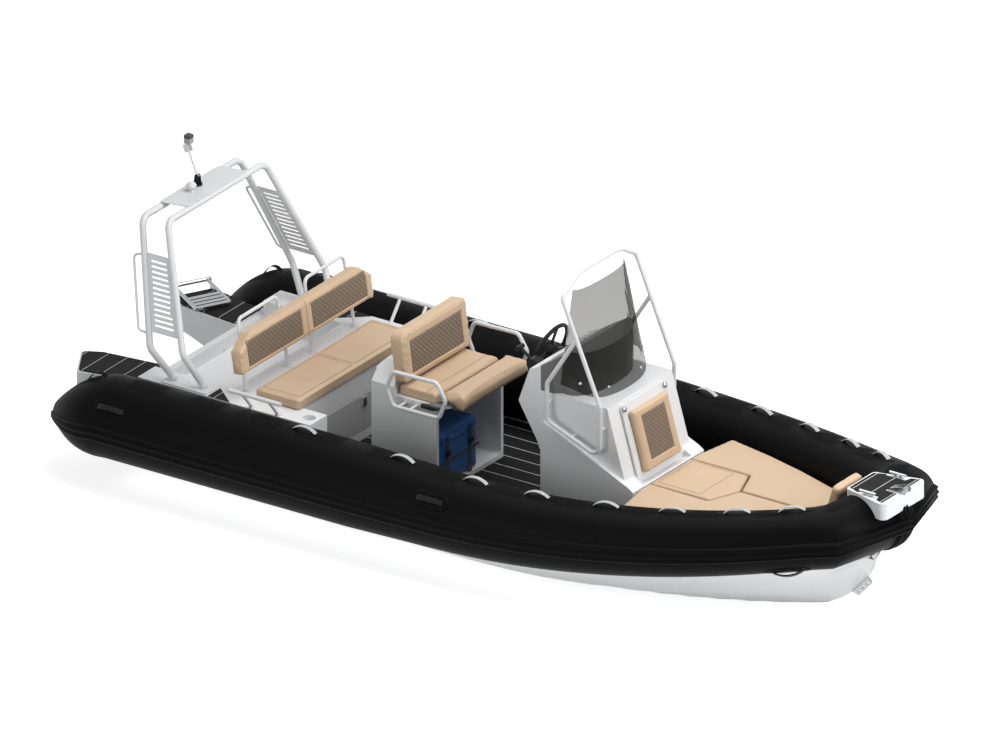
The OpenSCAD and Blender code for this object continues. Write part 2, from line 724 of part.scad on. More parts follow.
// Weld boss at the foot of a leg, flat where it stands on the plate
module leg_foot(p) {
    boss_r = bar_r + foot_boss;
    difference() {
        translate(p) sphere(r = boss_r);
        translate([p[0] - boss_r, p[1] - boss_r, foot_z - boss_r]) cube([2 * boss_r, 2 * boss_r, boss_r]);
    }
}
module roll_bar() {
    color([0.94, 0.95, 0.96]) {
        for (half = [fore_half, aft_half]) {
            bent_pipe(hoop_path(half), bar_r, bar_bend);
            both_sides() leg_foot(half[0]);
        }
        both_sides() bent_pipe([
            leg(aft_half, panel_low), leg(aft_half, panel_low) + [-rod_reach, 10, 15],
            leg(aft_half, panel_high) + [-rod_reach, 10, -15], leg(aft_half, panel_high)
        ], rod_r, 28);
        both_sides() difference() {
            slab_z(rounded(box_outline(bar_plate[0], bar_plate[1], bar_plate_y[0], bar_plate_y[1]), 18),
                side_z + seat_gap / 3, side_z + bar_plate_t);
            for (x = bar_bolt_x)
                translate([x, (bar_plate_y[0] + bar_plate_y[1]) / 2 - 20, side_z - 1])
                    cylinder(r = bar_bolt_r, h = bar_plate_t + 2);
        }
    }
}
// Plate laid on both crossbars
top_plate_y = 330;
top_plate_t = 6;
top_tilt = atan(aft_drop / (fore_hoop_x[2] - aft_hoop_x[2]));
module on_crossbars() {
    translate([fore_hoop_x[2], 0, side_z + bar_rise]) rotate([0, -top_tilt, 0]) children();
}
crossbar_gap = (fore_hoop_x[2] - aft_hoop_x[2]) / cos(top_tilt);
plate_top = bar_r + 2 * seat_gap + top_plate_t;
module roll_bar_plate() {
    plate = box_outline(-crossbar_gap - 14, 14, -top_plate_y, top_plate_y);
    color([0.95, 0.96, 0.97]) on_crossbars()
        slab_z(rounded(plate, 16), bar_r + 2 * seat_gap, bar_r + 2 * seat_gap + top_plate_t);
}
// Slotted side panels between the legs of the two hoops
panel_t = 4;
slot_count = 13;
slot_h = 11;
panel_edge = 24;
panel_rake = 20;
module slotted_panels() {
    low_f = leg(fore_half, panel_low);
    high_f = leg(fore_half, panel_high);
    low_a = leg(aft_half, panel_low);
    high_a = leg(aft_half, panel_high);
    lean = atan2(low_f[1] - high_f[1], high_f[2] - low_f[2]);
    rise = norm([high_f[1] - low_f[1], high_f[2] - low_f[2]]);
    inset = bar_r / cos(panel_rake) + seat_gap;
    aft_at = [low_a[0] + inset, high_a[0] + inset];
    fore_at = [low_f[0] - inset, high_f[0] - inset];
    color([0.94, 0.95, 0.96]) both_sides() translate([0, low_f[1], low_f[2]]) rotate([90 + lean, 0, 0])
        translate([0, 0, -panel_t / 2]) linear_extrude(panel_t) difference() {
            polygon([[aft_at[0], 0], [fore_at[0], 0], [fore_at[1], rise], [aft_at[1], rise]]);
            for (i = [0 : slot_count - 1]) {
                t = (i + 1.4) / (slot_count + 1.8);
                x0 = mix(aft_at[0], aft_at[1], t) + panel_edge;
                x1 = mix(fore_at[0], fore_at[1], t) - panel_edge;
                polygon(rounded(box_outline(x0, x1, rise * t - slot_h / 2, rise * t + slot_h / 2), slot_h * 0.45, 3));
            }
        }
}

// Light mast on a folding foot, and a mushroom antenna
mast_x = -140;
mast_up = 64;
mast_pin_r = 4;
fork_y = 9;
fork_t = 6;
module mast_frame() {
    on_crossbars() translate([mast_x, 0, plate_top]) rotate([0, top_tilt, 0]) children();
}
module mast_base() {
    cheek = [[-20, 8], [20, 8], [13, mast_up + 12], [-13, mast_up + 12]];
    color([0.05, 0.05, 0.055]) {
        on_crossbars() translate([mast_x, 0, plate_top + seat_gap / 3]) cylinder(r = 32, h = 14);
        mast_frame() {
            for (s = [0, 1]) mirror([0, s, 0]) slab_y(rounded(cheek, [0, 0, 10, 10]), fork_y, fork_y + fork_t);
            translate([0, fork_y + 2, mast_up]) rotate([90, 0, 0]) cylinder(r = mast_pin_r, h = 2 * fork_y + 4);
        }
    }
}
module light_mast() {
    knuckle_y = fork_y - 1;
    head_w = 42;
    head_h = 48;
    color([0.75, 0.76, 0.78]) mast_frame() translate([0, 0, mast_up]) rotate([0, -mast_lean, 0]) {
        difference() {
            union() {
                translate([0, knuckle_y, 0]) rotate([90, 0, 0]) cylinder(r = 12, h = 2 * knuckle_y);
                cylinder(r = 7.5, h = mast_len - head_h + 4);
            }
            translate([0, knuckle_y + 1, 0]) rotate([90, 0, 0])
                cylinder(r = mast_pin_r + pin_gap, h = 2 * knuckle_y + 2);
        }
        slab_z(rounded(box_outline(-head_w / 2, head_w / 2, -head_w / 2, head_w / 2), 6, 3), mast_len - head_h, mast_len);
    }
}
// Antenna profile: [radius, height]
antenna_profile = [[0, 0], [20, 0], [20, 8], [13, 12], [13, 22], [32, 26], [34, 36], [28, 50], [14, 58], [0, 60]];
module antenna() {
    color([0.95, 0.95, 0.94]) on_crossbars() translate([-120, -95, plate_top + seat_gap / 3])
        rotate_extrude() polygon(antenna_profile);
}

// Helm seat: pod with an open bay, cushion, backrest and a bolster that flips up
helm_lean = 7.5;
helm_back_x = -643;
helm_back_low = 702;
helm_back_h = 362;
helm_back_y = 375;
helm_back_t = 98;
function helm_back_face(h) = helm_back_x - helm_back_t / cos(helm_lean) - (h - helm_back_low) * tan(helm_lean);
pod_wall_h = 797;
bay_floor = 30;
bay_y = pod_y - wall_t;
bay_aft_x = pod_aft_x + 110;
bay_h = pod_h - 42;
module helm_pod() {
    side = [
        [pod_aft_x, 0], [pod_fore_x, 0], [pod_fore_x, pod_h], [helm_back_face(pod_h) - seat_gap, pod_h],
        [helm_back_face(pod_wall_h) - seat_gap, pod_wall_h], [pod_aft_x + 35, pod_wall_h], [pod_aft_x, pod_wall_h - 40]
    ];
    shoulder = 120;
    front = [
        [-pod_y, -1], [pod_y, -1], [pod_y, pod_wall_h - shoulder], [pod_y - shoulder, pod_wall_h + 1],
        [shoulder - pod_y, pod_wall_h + 1], [-pod_y, pod_wall_h - shoulder]
    ];
    color([0.93, 0.94, 0.95]) translate([0, 0, floor_z]) difference() {
        intersection() {
            slab_y(side, -pod_y - 1, pod_y + 1);
            slab_x(front, pod_aft_x - 1, pod_fore_x + 1);
        }
        slab_x(rounded(box_outline(-bay_y, bay_y, bay_floor, bay_h), 30), bay_aft_x, pod_fore_x + 1);
    }
}
seat_y = pod_y - 8;
seat_fore_x = pod_fore_x - 6;
module helm_cushion() {
    pad = box_outline(helm_back_face(pod_h) + 10, seat_fore_x, pod_h + seat_gap, pod_h + seat_pad_t);
    color([0.76, 0.62, 0.45]) translate([0, 0, floor_z]) slab_y(rounded(pad, [8, 12, 22, 12]), -seat_y, seat_y);
}
module helm_backrest() {
    half = [[-helm_back_y, 0], [helm_back_y, 0], [helm_back_y, helm_back_h], [-helm_back_y, helm_back_h]];
    color([0.76, 0.62, 0.45]) translate([helm_back_x, 0, floor_z + helm_back_low]) rotate([0, -helm_lean, 0])
        slab_x(rounded(half, [30, 30, 55, 55]), -helm_back_t, 0);
}
bolster_pivot = [-310, 666];
bolster_aft_x = pod_fore_x + 27;
bolster_low = 628;
bracket_y = pod_y + 0.5;
bracket_t = 8;
bolster_y = bracket_y - move_gap - 3;
module bolster_brackets() {
    plate = [
        [pod_fore_x - 120, bolster_low - 40], [pod_fore_x - 20, bolster_low - 40], bolster_pivot + [22, -20],
        bolster_pivot + [22, 20], bolster_pivot + [-30, 20], [pod_fore_x - 60, bolster_low], [pod_fore_x - 120, bolster_low - 8]
    ];
    color([0.8, 0.81, 0.83]) translate([0, 0, floor_z]) both_sides() {
        slab_y(rounded(plate, [8, 8, 14, 14, 8, 8, 8]), bracket_y, bracket_y + bracket_t);
        translate([bolster_pivot[0], bracket_y + 4, bolster_pivot[1]]) rotate([90, 0, 0])
            cylinder(r = 6, h = 4 + bracket_y - bolster_y + hinge_len);
    }
}
module helm_bolster() {
    pad = box_outline(bolster_aft_x, bolster_aft_x + bolster_len, bolster_low, bolster_low + bolster_t);
    color([0.76, 0.62, 0.45]) translate([0, 0, floor_z]) difference() {
        slab_y(rounded(pad, [10, 35, 38, 14]), -bolster_y, bolster_y);
        for (s = [-1, 1])
            translate([bolster_pivot[0], s * (bolster_y + 1), bolster_pivot[1]]) rotate([s * 90, 0, 0])
                cylinder(r = 6 + pin_gap, h = hinge_len + 3);
    }
}
// Arm loops: pipe rings beside the seat, [x, height above the floor] of each corner
arm_r = 13;
arm_y = 455;
arm_corners = [[-690, 827], [-354, 833], [-285, 724], [-336, 592], [-687, 589], [-735, 704]];
arm_stub_x = [-650, -565];
module arm_loops() {
    color([0.94, 0.95, 0.96]) translate([0, 0, floor_z]) both_sides() {
        bent_pipe([for (c = arm_corners) [c[0], arm_y, c[1]]], arm_r, 42, closed = true);
        for (x = arm_stub_x)
            rod([x, pod_y + seat_gap, 590.5], [x, arm_y, 590.5], 9);
    }
}
module pod_handle() {
    handle_y = 230;
    handle_h = 690;
    handle_reach = 62;
    color([0.94, 0.95, 0.96]) translate([pod_aft_x - seat_gap, 0, floor_z]) bent_pipe([
        [0, -handle_y, handle_h], [-handle_reach, -handle_y, handle_h], [-handle_reach, handle_y, handle_h],
        [0, handle_y, handle_h]
    ], 11, 35);
}
// Cool box strapped in the bay
cooler_y = [-330, 112];
cooler_h = 372;
module cooler() {
    box = box_outline(cooler_y[0], cooler_y[1], bay_floor + seat_gap, bay_floor + cooler_h);
    color([0.03, 0.14, 0.42]) translate([0, 0, floor_z])
        slab_x(rounded(box, 22), bay_aft_x + 30, pod_fore_x - 8);
}
module cooler_straps() {
    strap_at = [-240, 10];
    front = pod_fore_x - 8 + seat_gap;
    color([0.04, 0.04, 0.045]) translate([0, 0, floor_z]) {
        for (y = strap_at)
            slab_x(box_outline(y - 17, y + 17, bay_floor + seat_gap, bay_floor + cooler_h - 40), front, front + 3);
        slab_x(box_outline(cooler_y[0] + 10, cooler_y[1] - 10, bay_floor + 158, bay_floor + 176), front, front + 4);
    }
}

// Console: a narrow upper part on a wider foot, hollow behind the door in its front
door_tilt = 16.1;
front_low = [1028, 420];
function front_x(h) = front_low[0] - (h - front_low[1]) * tan(door_tilt);
dash_low = [204, 823];
dash_top = [289, 1062];
hood_aft = [575, 1237];
hood_fore = [712, 1225];
shelf_h = 936;
foot_fore_x = 1100;
foot_aft_x = 395;
console_side = [
    dash_top, dash_low, [345, 582], [420, 400], [front_x(400), 400], [front_x(shelf_h), shelf_h],
    [hood_fore[0] + 72, shelf_h], hood_fore, hood_aft, [330, 1076]
];
foot_side = [
    [foot_aft_x, 0], [foot_fore_x, 0], [foot_fore_x, 425], [front_low[0] + 37, 449], [410, 742], [foot_aft_x, 717]
];
cavity_side = [
    [445, 40], [foot_fore_x - 45, 40], [foot_fore_x - 45, 380], [front_x(400) - 40, 400],
    [front_x(890) - 40, 890], [320, 890], [290, 823], [450, 560]
];
cavity_y = console_y - 40;
door_hinge = [front_x(455) + 14, 455];
door_len = 480;
door_y = 245;
door_leaf_t = 14;
door_swing = 45;
hole_y = door_y - 35;
module door_frame() {
    translate([door_hinge[0], 0, floor_z + door_hinge[1]]) rotate([0, -door_tilt, 0]) children();
}
module console() {
    hood_gap = 20;
    sill_drop = (door_leaf_t / 2 + pad_t) * sin(door_swing) + move_gap;
    hood_t = (hood_aft[1] - shelf_h) / (glass_top[3] - shelf_h);
    hood_arc = [for (a = [82, 70, 55, 40, 25, 10, 0]) mix(glass_low(a, hood_gap), glass_high(a, hood_gap), hood_t)];
    hood_half = concat(
        [[150, console_y], [glass_aft_x - 12, console_y], [glass_aft_x + 36, hood_arc[0][1]]],
        [for (p = hood_arc) [p[0], p[1]]]
    );
    lug = [[-14, -16], [-2, -16], [8, -8], [8, 8], [-2, 12], [-14, 12]];
    color([0.93, 0.94, 0.95]) {
        translate([0, 0, floor_z]) difference() {
            union() {
                difference() {
                    slab_y(console_side, -console_y, console_y);
                    difference() {
                        slab_z(both_halves([[300, console_y + 2], [950, console_y + 2]]), shelf_h, 1300);
                        slab_z(both_halves(hood_half), shelf_h - 1, 1301);
                    }
                }
                slab_y(foot_side, -foot_y, foot_y);
            }
            slab_y(cavity_side, -cavity_y, cavity_y);
            translate([door_hinge[0], 0, door_hinge[1]]) rotate([0, -door_tilt, 0]) {
                slab_x(box_outline(-hole_y, hole_y, 30, door_len - 50), -100, 20);
                slab_x(box_outline(-door_y - 22, door_y + 22, -sill_drop, door_len + 40),
                    -door_leaf_t / 2 - move_gap, 160);
            }
        }
        door_frame() both_sides() {
            slab_y(lug, door_y + move_gap, door_y + move_gap + 14);
            translate([0, door_y + move_gap + 4, 0]) rotate([90, 0, 0])
                cylinder(r = hinge_r, h = 4 + move_gap + hinge_len);
        }
    }
}
module console_door() {
    color([0.95, 0.96, 0.97]) door_frame() difference() {
        slab_x(rounded(box_outline(-door_y, door_y, -8, door_len), [6, 6, 25, 25]),
            -door_leaf_t / 2, door_leaf_t / 2);
        for (s = [-1, 1])
            translate([0, s * (door_y + 1), 0]) rotate([s * 90, 0, 0])
                cylinder(r = hinge_r + pin_gap, h = hinge_len + 3);
    }
}
pad_y = 208;
pad_low = 4;
pad_len = 432;
pad_t = 46;
module console_pad() {
    color([0.76, 0.62, 0.45]) door_frame()
        slab_x(rounded(box_outline(-pad_y, pad_y, pad_low, pad_low + pad_len), 26),
            door_leaf_t / 2 + seat_gap, door_leaf_t / 2 + pad_t);
}

// Windscreen: a wrapped sheet from a wide lower edge to a narrow upper edge
glass_aft_x = 480;
glass_low_reach = 322;
glass_low_y = 392;
glass_top = [548, 76, 285, 1647];
glass_round = 0.6;
glass_side_rise = 96;
glass_steps = 18;
function glass_low(a, inset) = [
    glass_aft_x + (glass_low_reach - inset) * pow(cos(a), glass_round), (glass_low_y - inset) * sin(a),
    floor_z + shelf_h + seat_gap * 2 + glass_side_rise * pow(abs(sin(a)), 6)
];
function glass_high(a, inset) = [
    glass_top[0] + (glass_top[1] - inset) * pow(cos(a), glass_round), (glass_top[2] - inset) * sin(a),
    floor_z + glass_top[3]
];
glass_end = 86;
function glass_angle(i) = -glass_end + 2 * glass_end * i / glass_steps;
module windscreen() {
    color([0.35, 0.36, 0.36, 0.5]) loft([
        for (i = [0 : glass_steps]) let(a = glass_angle(i))
            [glass_low(a, 0), glass_high(a, 0), glass_high(a, glass_t), glass_low(a, glass_t)]
    ]);
}
// Windscreen frame: pipe round each side of the screen and over its top, [x, height] of each corner
frame_y = 412;
frame_top = [571, 1642];
frame_knee = [864, 955];
frame_corners = [[457, 1024], [457, 770], [856, 611]];
frame_stay = 0.62;
arch_y = 230;
arch_rise = 105;
standoffs = [[457, 890], [640, 697], [861, 800]];
function frame_point(c, y) = [c[0], y, floor_z + c[1]];
module screen_frame() {
    stay_end = mix(frame_knee, frame_top, frame_stay);
    side = [for (c = concat([stay_end], frame_corners, [frame_knee, frame_top])) frame_point(c, frame_y)];
    arch = [[frame_top[0], arch_y, floor_z + frame_top[1] + arch_rise]];
    half = concat(side, arch);
    bends = [0, 55, 45, 55, 60, 45, 300];
    color([0.94, 0.95, 0.96]) {
        bent_pipe(concat(half, [for (p = rev(half)) [p[0], -p[1], p[2]]]), frame_r, concat(bends, rev(bends)));
        both_sides() for (c = standoffs)
            rod([c[0], console_y + seat_gap, floor_z + c[1]], [c[0], frame_y, floor_z + c[1]], 8);
    }
}

// Steering on the sloping dash: its axis stands square to the dash
dash_dir = unit(dash_top - dash_low);
dash_tilt = atan2(dash_dir[1], -dash_dir[0]) - 90;
module on_dash(t, y) {
    p = mix(dash_low, dash_top, t);
    translate([p[0], y, floor_z + p[1]]) rotate([0, 90 + dash_tilt, 0]) rotate([0, 180, 0]) children();
}
helm_t = 0.82;
column_len = 38;
shaft_r = 10;
hub_r = 42;
module steering_column() {
    color([0.05, 0.05, 0.055]) on_dash(helm_t, 0) {
        translate([0, 0, seat_gap]) cylinder(r1 = 62, r2 = 40, h = column_len);
        cylinder(r = shaft_r, h = wheel_reach - 14);
    }
}
spoke_count = 3;
spoke_w = 26;
spoke_t = 9;
module steering_wheel() {
    color([0.05, 0.05, 0.055]) on_dash(helm_t, 0) difference() {
        union() {
            translate([0, 0, wheel_reach]) rotate_extrude() translate([wheel_r, 0]) circle(rim_r);
            translate([0, 0, column_len + move_gap]) cylinder(r = hub_r, h = wheel_reach - column_len);
            for (i = [0 : spoke_count - 1]) rotate([0, 0, 360 / spoke_count * i])
                translate([hub_r - 12, -spoke_w / 2, wheel_reach - spoke_t / 2]) cube([wheel_r - hub_r + 12, spoke_w, spoke_t]);
        }
        translate([0, 0, column_len]) cylinder(r = shaft_r + pin_gap, h = wheel_reach - column_len - 10);
    }
}
throttle_y = -232;
module throttle() {
    color([0.05, 0.05, 0.055]) on_dash(0.86, throttle_y) {
        translate([-38, -36, seat_gap]) cube([76, 72, 40]);
        translate([0, 36, 40]) rotate([90, 0, 0]) cylinder(r = 38, h = 72);
        rod([0, 0, 40], [38, 0, 172], 10);
        translate([38, 34, 172]) rotate([90, 0, 0]) cylinder(r = 15, h = 68);
    }
}

// Bow seating: locker, cushions and a backrest ahead of the console
bow_aft_x = foot_fore_x + 12;
bow_edge_gap = 26;
bow_wing_x = foot_fore_x + 62;
bow_fore_x = 2450;
bow_x = [bow_wing_x, 1500, 1800, 2100, 2300, bow_fore_x];
function bow_y(x) = inner_y(x) - bow_edge_gap;
bow_base_inset = 30;
foredeck_fit_x = bend_x + bend_step * 12 + 10;
bow_seat_z = floor_z + bow_seat_h;
bow_base_z = bow_seat_z - bow_pad_t;
locker_fore_x = mat_fore_x - 8;
module bow_locker() {
    aft = [for (x = bow_x) if (x < locker_fore_x) [x, min(bow_y(x) - bow_base_inset, mat_y(x))]];
    half = concat([[bow_aft_x + 6, 320]], aft, [[locker_fore_x, mat_y(locker_fore_x)]]);
    fore = [for (x = bow_x) if (x > foredeck_fit_x) [x - 6, bow_y(x) - bow_base_inset]];
    color([0.88, 0.89, 0.9]) {
        slab_z(both_halves(half), floor_z, bow_base_z - seat_gap);
        slab_z(both_halves(concat([[foredeck_fit_x, bow_y(foredeck_fit_x) - bow_base_inset]], fore)),
            foredeck_z + seat_gap, bow_base_z - seat_gap);
    }
}
filler_y = 228;
filler_fore_x = 1560;
filler_tip_x = 1650;
seam_gap = 4;
module bow_cushions() {
    wing = concat(
        [[bow_aft_x, filler_y + seam_gap], [bow_aft_x, 330]],
        [for (x = bow_x) [x, bow_y(x)]],
        [[bow_fore_x, seam_gap / 2], [filler_tip_x + seam_gap, seam_gap / 2], [filler_fore_x + seam_gap, filler_y + seam_gap]]
    );
    filler = [[bow_aft_x, filler_y], [filler_fore_x, filler_y], [filler_tip_x, 0]];
    color([0.78, 0.65, 0.47]) {
        both_sides() slab_z(wing, bow_base_z, bow_seat_z);
        slab_z(concat(filler, [[filler_fore_x, -filler_y], [bow_aft_x, -filler_y]]), bow_base_z, bow_seat_z);
    }
}
bow_back_x = 2356;
bow_back_t = 58;
bow_back_h = 318;
bow_back_lean = 17;
module bow_backrest() {
    half = [[-172, 0], [172, 0], [145, bow_back_h], [-145, bow_back_h]];
    color([0.76, 0.62, 0.45]) translate([bow_back_x, 0, bow_seat_z + seat_gap]) intersection() {
        rotate([0, bow_back_lean, 0]) translate([0, 0, -20])
            slab_x(rounded([for (p = half) [p[0], p[1] + 20]], [0, 0, 40, 40]), 0, bow_back_t);
        translate([-100, -300, 0]) cube([400, 600, 600]);
    }
}
// Bow step: a cap moulded over the bow tube
step_aft = [2560, 152];
step_fore = [2908, 244];
step_low_z = step_z - 110;
step_seat = 0.6;
module bow_tube_room() {
    corner = [for (j = [0 : tube_sides - 1]) skin(mitre_ring(), j * side_angle, step_seat)];
    nose = [for (j = [0 : tube_sides - 1]) skin(nose_ring(), j * side_angle, step_seat)];
    loft([corner, nose, [for (p = corner) [p[0], -p[1], p[2]]]]);
}
module bow_step() {
    half = [step_aft, step_fore];
    color([0.94, 0.95, 0.96]) difference() {
        slab_z(rounded(both_halves(half), [20, 40, 40, 20]), step_low_z, step_z);
        bow_tube_room();
    }
}
cleat_x = 2735;
cleat_y = 168;
module bow_cleats() {
    horn = 62;
    color([0.8, 0.81, 0.83]) both_sides() translate([cleat_x, cleat_y, step_z + seat_gap]) {
        rod([-horn, 0, 24], [horn, 0, 24], 8);
        for (x = [-20, 20]) translate([x, 0, 0]) cylinder(r = 7, h = 24);
        slab_z(rounded(box_outline(-38, 38, -14, 14), 10), 0, 4);
    }
}
module bow_roller() {
    cheek = [[2790, 0], [2925, -4], [2935, 26], [2900, 42], [2800, 12]];
    color([0.8, 0.81, 0.83]) translate([0, 0, step_z + seat_gap + 4]) {
        both_sides() slab_y(rounded(cheek, [0, 8, 10, 12, 5]), 26, 30);
        slab_z(box_outline(2790, 2900, -30, 30), -4, 1);
        translate([2905, 27, 20]) rotate([90, 0, 0]) cylinder(r = 15, h = 54);
    }
}

hull();
transom();
deck_mat();
tube_port();
tube_starboard();
rub_strakes();
grab_straps();
carry_handles();
bow_eye();
side_deck_port();
side_deck_starboard();
well_floor();
bench_locker();
bench_door();
bench_cushion();
bench_backrest();
backrest_hoops();
side_rails();
platform_port();
platform_starboard();
platform_mats();
ladder_brackets();
ladder();
roll_bar();
roll_bar_plate();
slotted_panels();
mast_base();
light_mast();
antenna();
helm_pod();
helm_cushion();
helm_backrest();
bolster_brackets();
helm_bolster();
arm_loops();
pod_handle();
cooler();
cooler_straps();
console();
console_door();
console_pad();
windscreen();
screen_frame();
steering_column();
steering_wheel();
throttle();
bow_locker();
bow_cushions();
bow_backrest();
bow_step();
bow_cleats();
bow_roller();
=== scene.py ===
"""Looks of a rigid inflatable boat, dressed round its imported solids.

Everything is in metres in the frame of the solids: X forward, Y to port, Z up, with the waterline at Z = 0.
"""
import math

import bmesh
import bpy
import numpy as np
from mathutils import Matrix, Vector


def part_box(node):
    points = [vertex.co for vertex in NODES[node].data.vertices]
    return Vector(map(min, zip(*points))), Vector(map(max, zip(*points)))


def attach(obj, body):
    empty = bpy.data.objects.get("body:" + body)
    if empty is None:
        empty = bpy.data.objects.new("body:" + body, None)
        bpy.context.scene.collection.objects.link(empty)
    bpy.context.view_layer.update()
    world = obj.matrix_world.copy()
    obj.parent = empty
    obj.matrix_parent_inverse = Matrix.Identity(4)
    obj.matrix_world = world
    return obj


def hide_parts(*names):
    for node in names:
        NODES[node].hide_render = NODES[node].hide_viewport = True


bl_info = {
    "name": "Inflatable boat looks",
    "version": (1, 0, 0),
    "blender": (4, 5, 0),
    "location": "View3D > Sidebar > Boat",
    "description": "Dresses the solids of a rigid inflatable boat with air tubes, upholstery, mats and trim",
    "category": "Object",
}

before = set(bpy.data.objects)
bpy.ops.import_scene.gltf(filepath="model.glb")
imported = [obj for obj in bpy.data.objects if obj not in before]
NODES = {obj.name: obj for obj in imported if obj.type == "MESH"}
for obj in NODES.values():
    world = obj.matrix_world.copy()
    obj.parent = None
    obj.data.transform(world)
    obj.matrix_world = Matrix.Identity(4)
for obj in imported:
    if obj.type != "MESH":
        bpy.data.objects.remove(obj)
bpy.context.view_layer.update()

# Sizes that the solids are built from, in metres
SIDE_Z = 0.640
TUBE_Y, TUBE_Z, TUBE_R, TUBE_BOW_R = 0.975, 0.422, 0.270, 0.200
SHEER_RISE, BEND_X, BEND_R = 0.250, 0.150, 5.500
CORNER_X, NOSE_X, TUBE_AFT_X = 2.600, 2.730, -2.450
TAPER_AFT_X, TAPER_FORE_X = -0.600, 2.300
CONE_LEN, CONE_END_R, CONE_DROP, CONE_POWER = 0.430, 0.068, 0.060, 2.2
MITRE_ROOM = 0.100
STRAP_X = (2.385, 2.057, 1.654, 1.220, 0.743, 0.297, -0.257, -1.005)
CARRY_PLACES = ((-2.330, 36.0), (0.090, 36.0), (2.380, -54.0))

# Gaps under what is screwed on and what is glued to a tube, and half the gap between the two sides at the bow
SEAT, SKIN_SEAT, MID_GAP = 0.0003, 0.0005, 0.001

# Rub strake: half its width in degrees, the slope at its edges and its height
STRAKE_HALF, STRAKE_EDGE, STRAKE_LIFT = 15.0, 0.2, 0.0235
# Bow band: the share of the nose at which it starts, its height and how far its edges lie under the skin
BAND_FROM, BAND_LIFT, BAND_UNDER = 0.86, 0.013, 0.002
# Glued patches: half length, half width and thickness, and how far a strap's patches lie from its middle
HANDLE_PATCH, STRAP_PATCH, STRAP_END = (0.135, 0.058, 0.004), (0.034, 0.024, 0.0022), 0.094
# Loops on the stern cones: start and length as shares of the cone, rise, half width and thickness
LOOP_FROM, LOOP_SHARE, LOOP_RISE, LOOP_HALF, LOOP_THICK = 0.16, 0.30, 0.034, 0.016, 0.004

# Sewing: depth and width of the quilting, of an inset's edge and of a seam, and the width of a seam's dark thread
QUILT, INSET_EDGE, SEAM, THREAD = (0.0032, 0.0042), (0.0045, 0.005), (0.003, 0.0045), 0.003
CLOTH_FRAMES = 20

# Heights of the glued-on mats' tops over what carries them
CORNER_MAT_TOP, STEP_MAT_TOP = 0.0053, 0.0055

# Small fittings: (radius, height) down a knob and a bolt's head, and (scale, height) up the mast's lamp and its cap
KNOB = ((0.0, 0.0), (0.017, 0.0), (0.019, 0.004), (0.019, 0.012), (0.014, 0.017), (0.0, 0.018))
BOLT = ((0.0, 0.0), (0.011, 0.0), (0.011, 0.002), (0.0095, 0.005), (0.006, 0.0075), (0.0, 0.0085))
LAMP = ((0.70, SEAT), (1.0, 0.006), (1.0, 0.040), (0.96, 0.0415))
LAMP_CAP = ((0.96, 0.042), (1.0, 0.044), (1.0, 0.058), (0.85, 0.064))
# Screen bolts: X, half the distance across and Z of a point by the screen, and the bolt's heading off the bow
SCREEN_BOLTS = ((0.664, 0.36, 1.2125, 90.0), (0.847, 0.25, 1.1535, 42.0))
# Dash: its lower and upper edge amidships
DASH_LOW, DASH_HIGH = np.array([0.204, 0.0, 0.986]), np.array([0.289, 0.0, 1.225])


def colour_setting(name, description, default):
    """A colour that a user may change."""
    return bpy.props.FloatVectorProperty(
        name=name, description=description, subtype="COLOR", size=3, min=0, max=1, default=default)


def length_setting(name, description, default, low, high):
    """A length that a user may change, in metres."""
    return bpy.props.FloatProperty(
        name=name, description=description, subtype="DISTANCE", unit="LENGTH", min=low, max=high, default=default)


class BoatLooks(bpy.types.PropertyGroup):
    """Colours and sizes that change the boat's looks."""

    paint: colour_setting("Paint", "White paint of hull, furniture and pipes", (0.80, 0.81, 0.82))
    tube: colour_setting("Tubes", "Coated fabric of the air tubes", (0.0015, 0.0015, 0.0017))
    tan: colour_setting("Upholstery", "Plain borders and seat tops", (0.63, 0.455, 0.295))
    tan_inset: colour_setting(
        "Quilted insets", "Quilted parts of the backrests and the console pad", (0.20, 0.145, 0.097))
    foam: colour_setting("Foam mats", "Foam of the deck and platform mats", (0.008, 0.008, 0.0085))
    foam_line: colour_setting("Mat lines", "Pale lines cut into the foam mats", (0.55, 0.55, 0.54))
    bag: colour_setting("Cool bag", "Fabric of the cool bag", (0.005, 0.105, 0.36))
    quilt_pitch: length_setting("Quilt pitch", "Distance between the sewn diagonals", 0.036, 0.02, 0.1)
    plank_pitch: length_setting("Line pitch", "Distance between the straight lines on the mats", 0.13, 0.04, 0.4)
    stuffing_cap: length_setting("Stuffing", "How far the stuffing may push a pad's cover", 0.011, 0.002, 0.03)


def looks():
    """The scene's boat settings."""
    return bpy.context.scene.boat_looks


# Meshes from arrays

def quads(rows, cols, ring):
    """Corner numbers of the faces between rows of closed loops, four to a face; a ring joins last row and first."""
    i, j = np.meshgrid(np.arange(rows - (not ring)), np.arange(cols), indexing="ij")
    i2, j2 = (i + 1) % rows, (j + 1) % cols
    return np.stack([i * cols + j, i2 * cols + j, i2 * cols + j2, i * cols + j2], axis=-1).reshape(-1, 4)


def write_uv(mesh, uv):
    """Stores two numbers per vertex as the mesh's UV map."""
    corner = np.empty(len(mesh.loops), dtype=np.int64)
    mesh.loops.foreach_get("vertex_index", corner)
    layer = mesh.uv_layers.new(name="surface")
    layer.data.foreach_set("uv", uv.reshape(-1, 2)[corner].astype(np.float32).ravel())


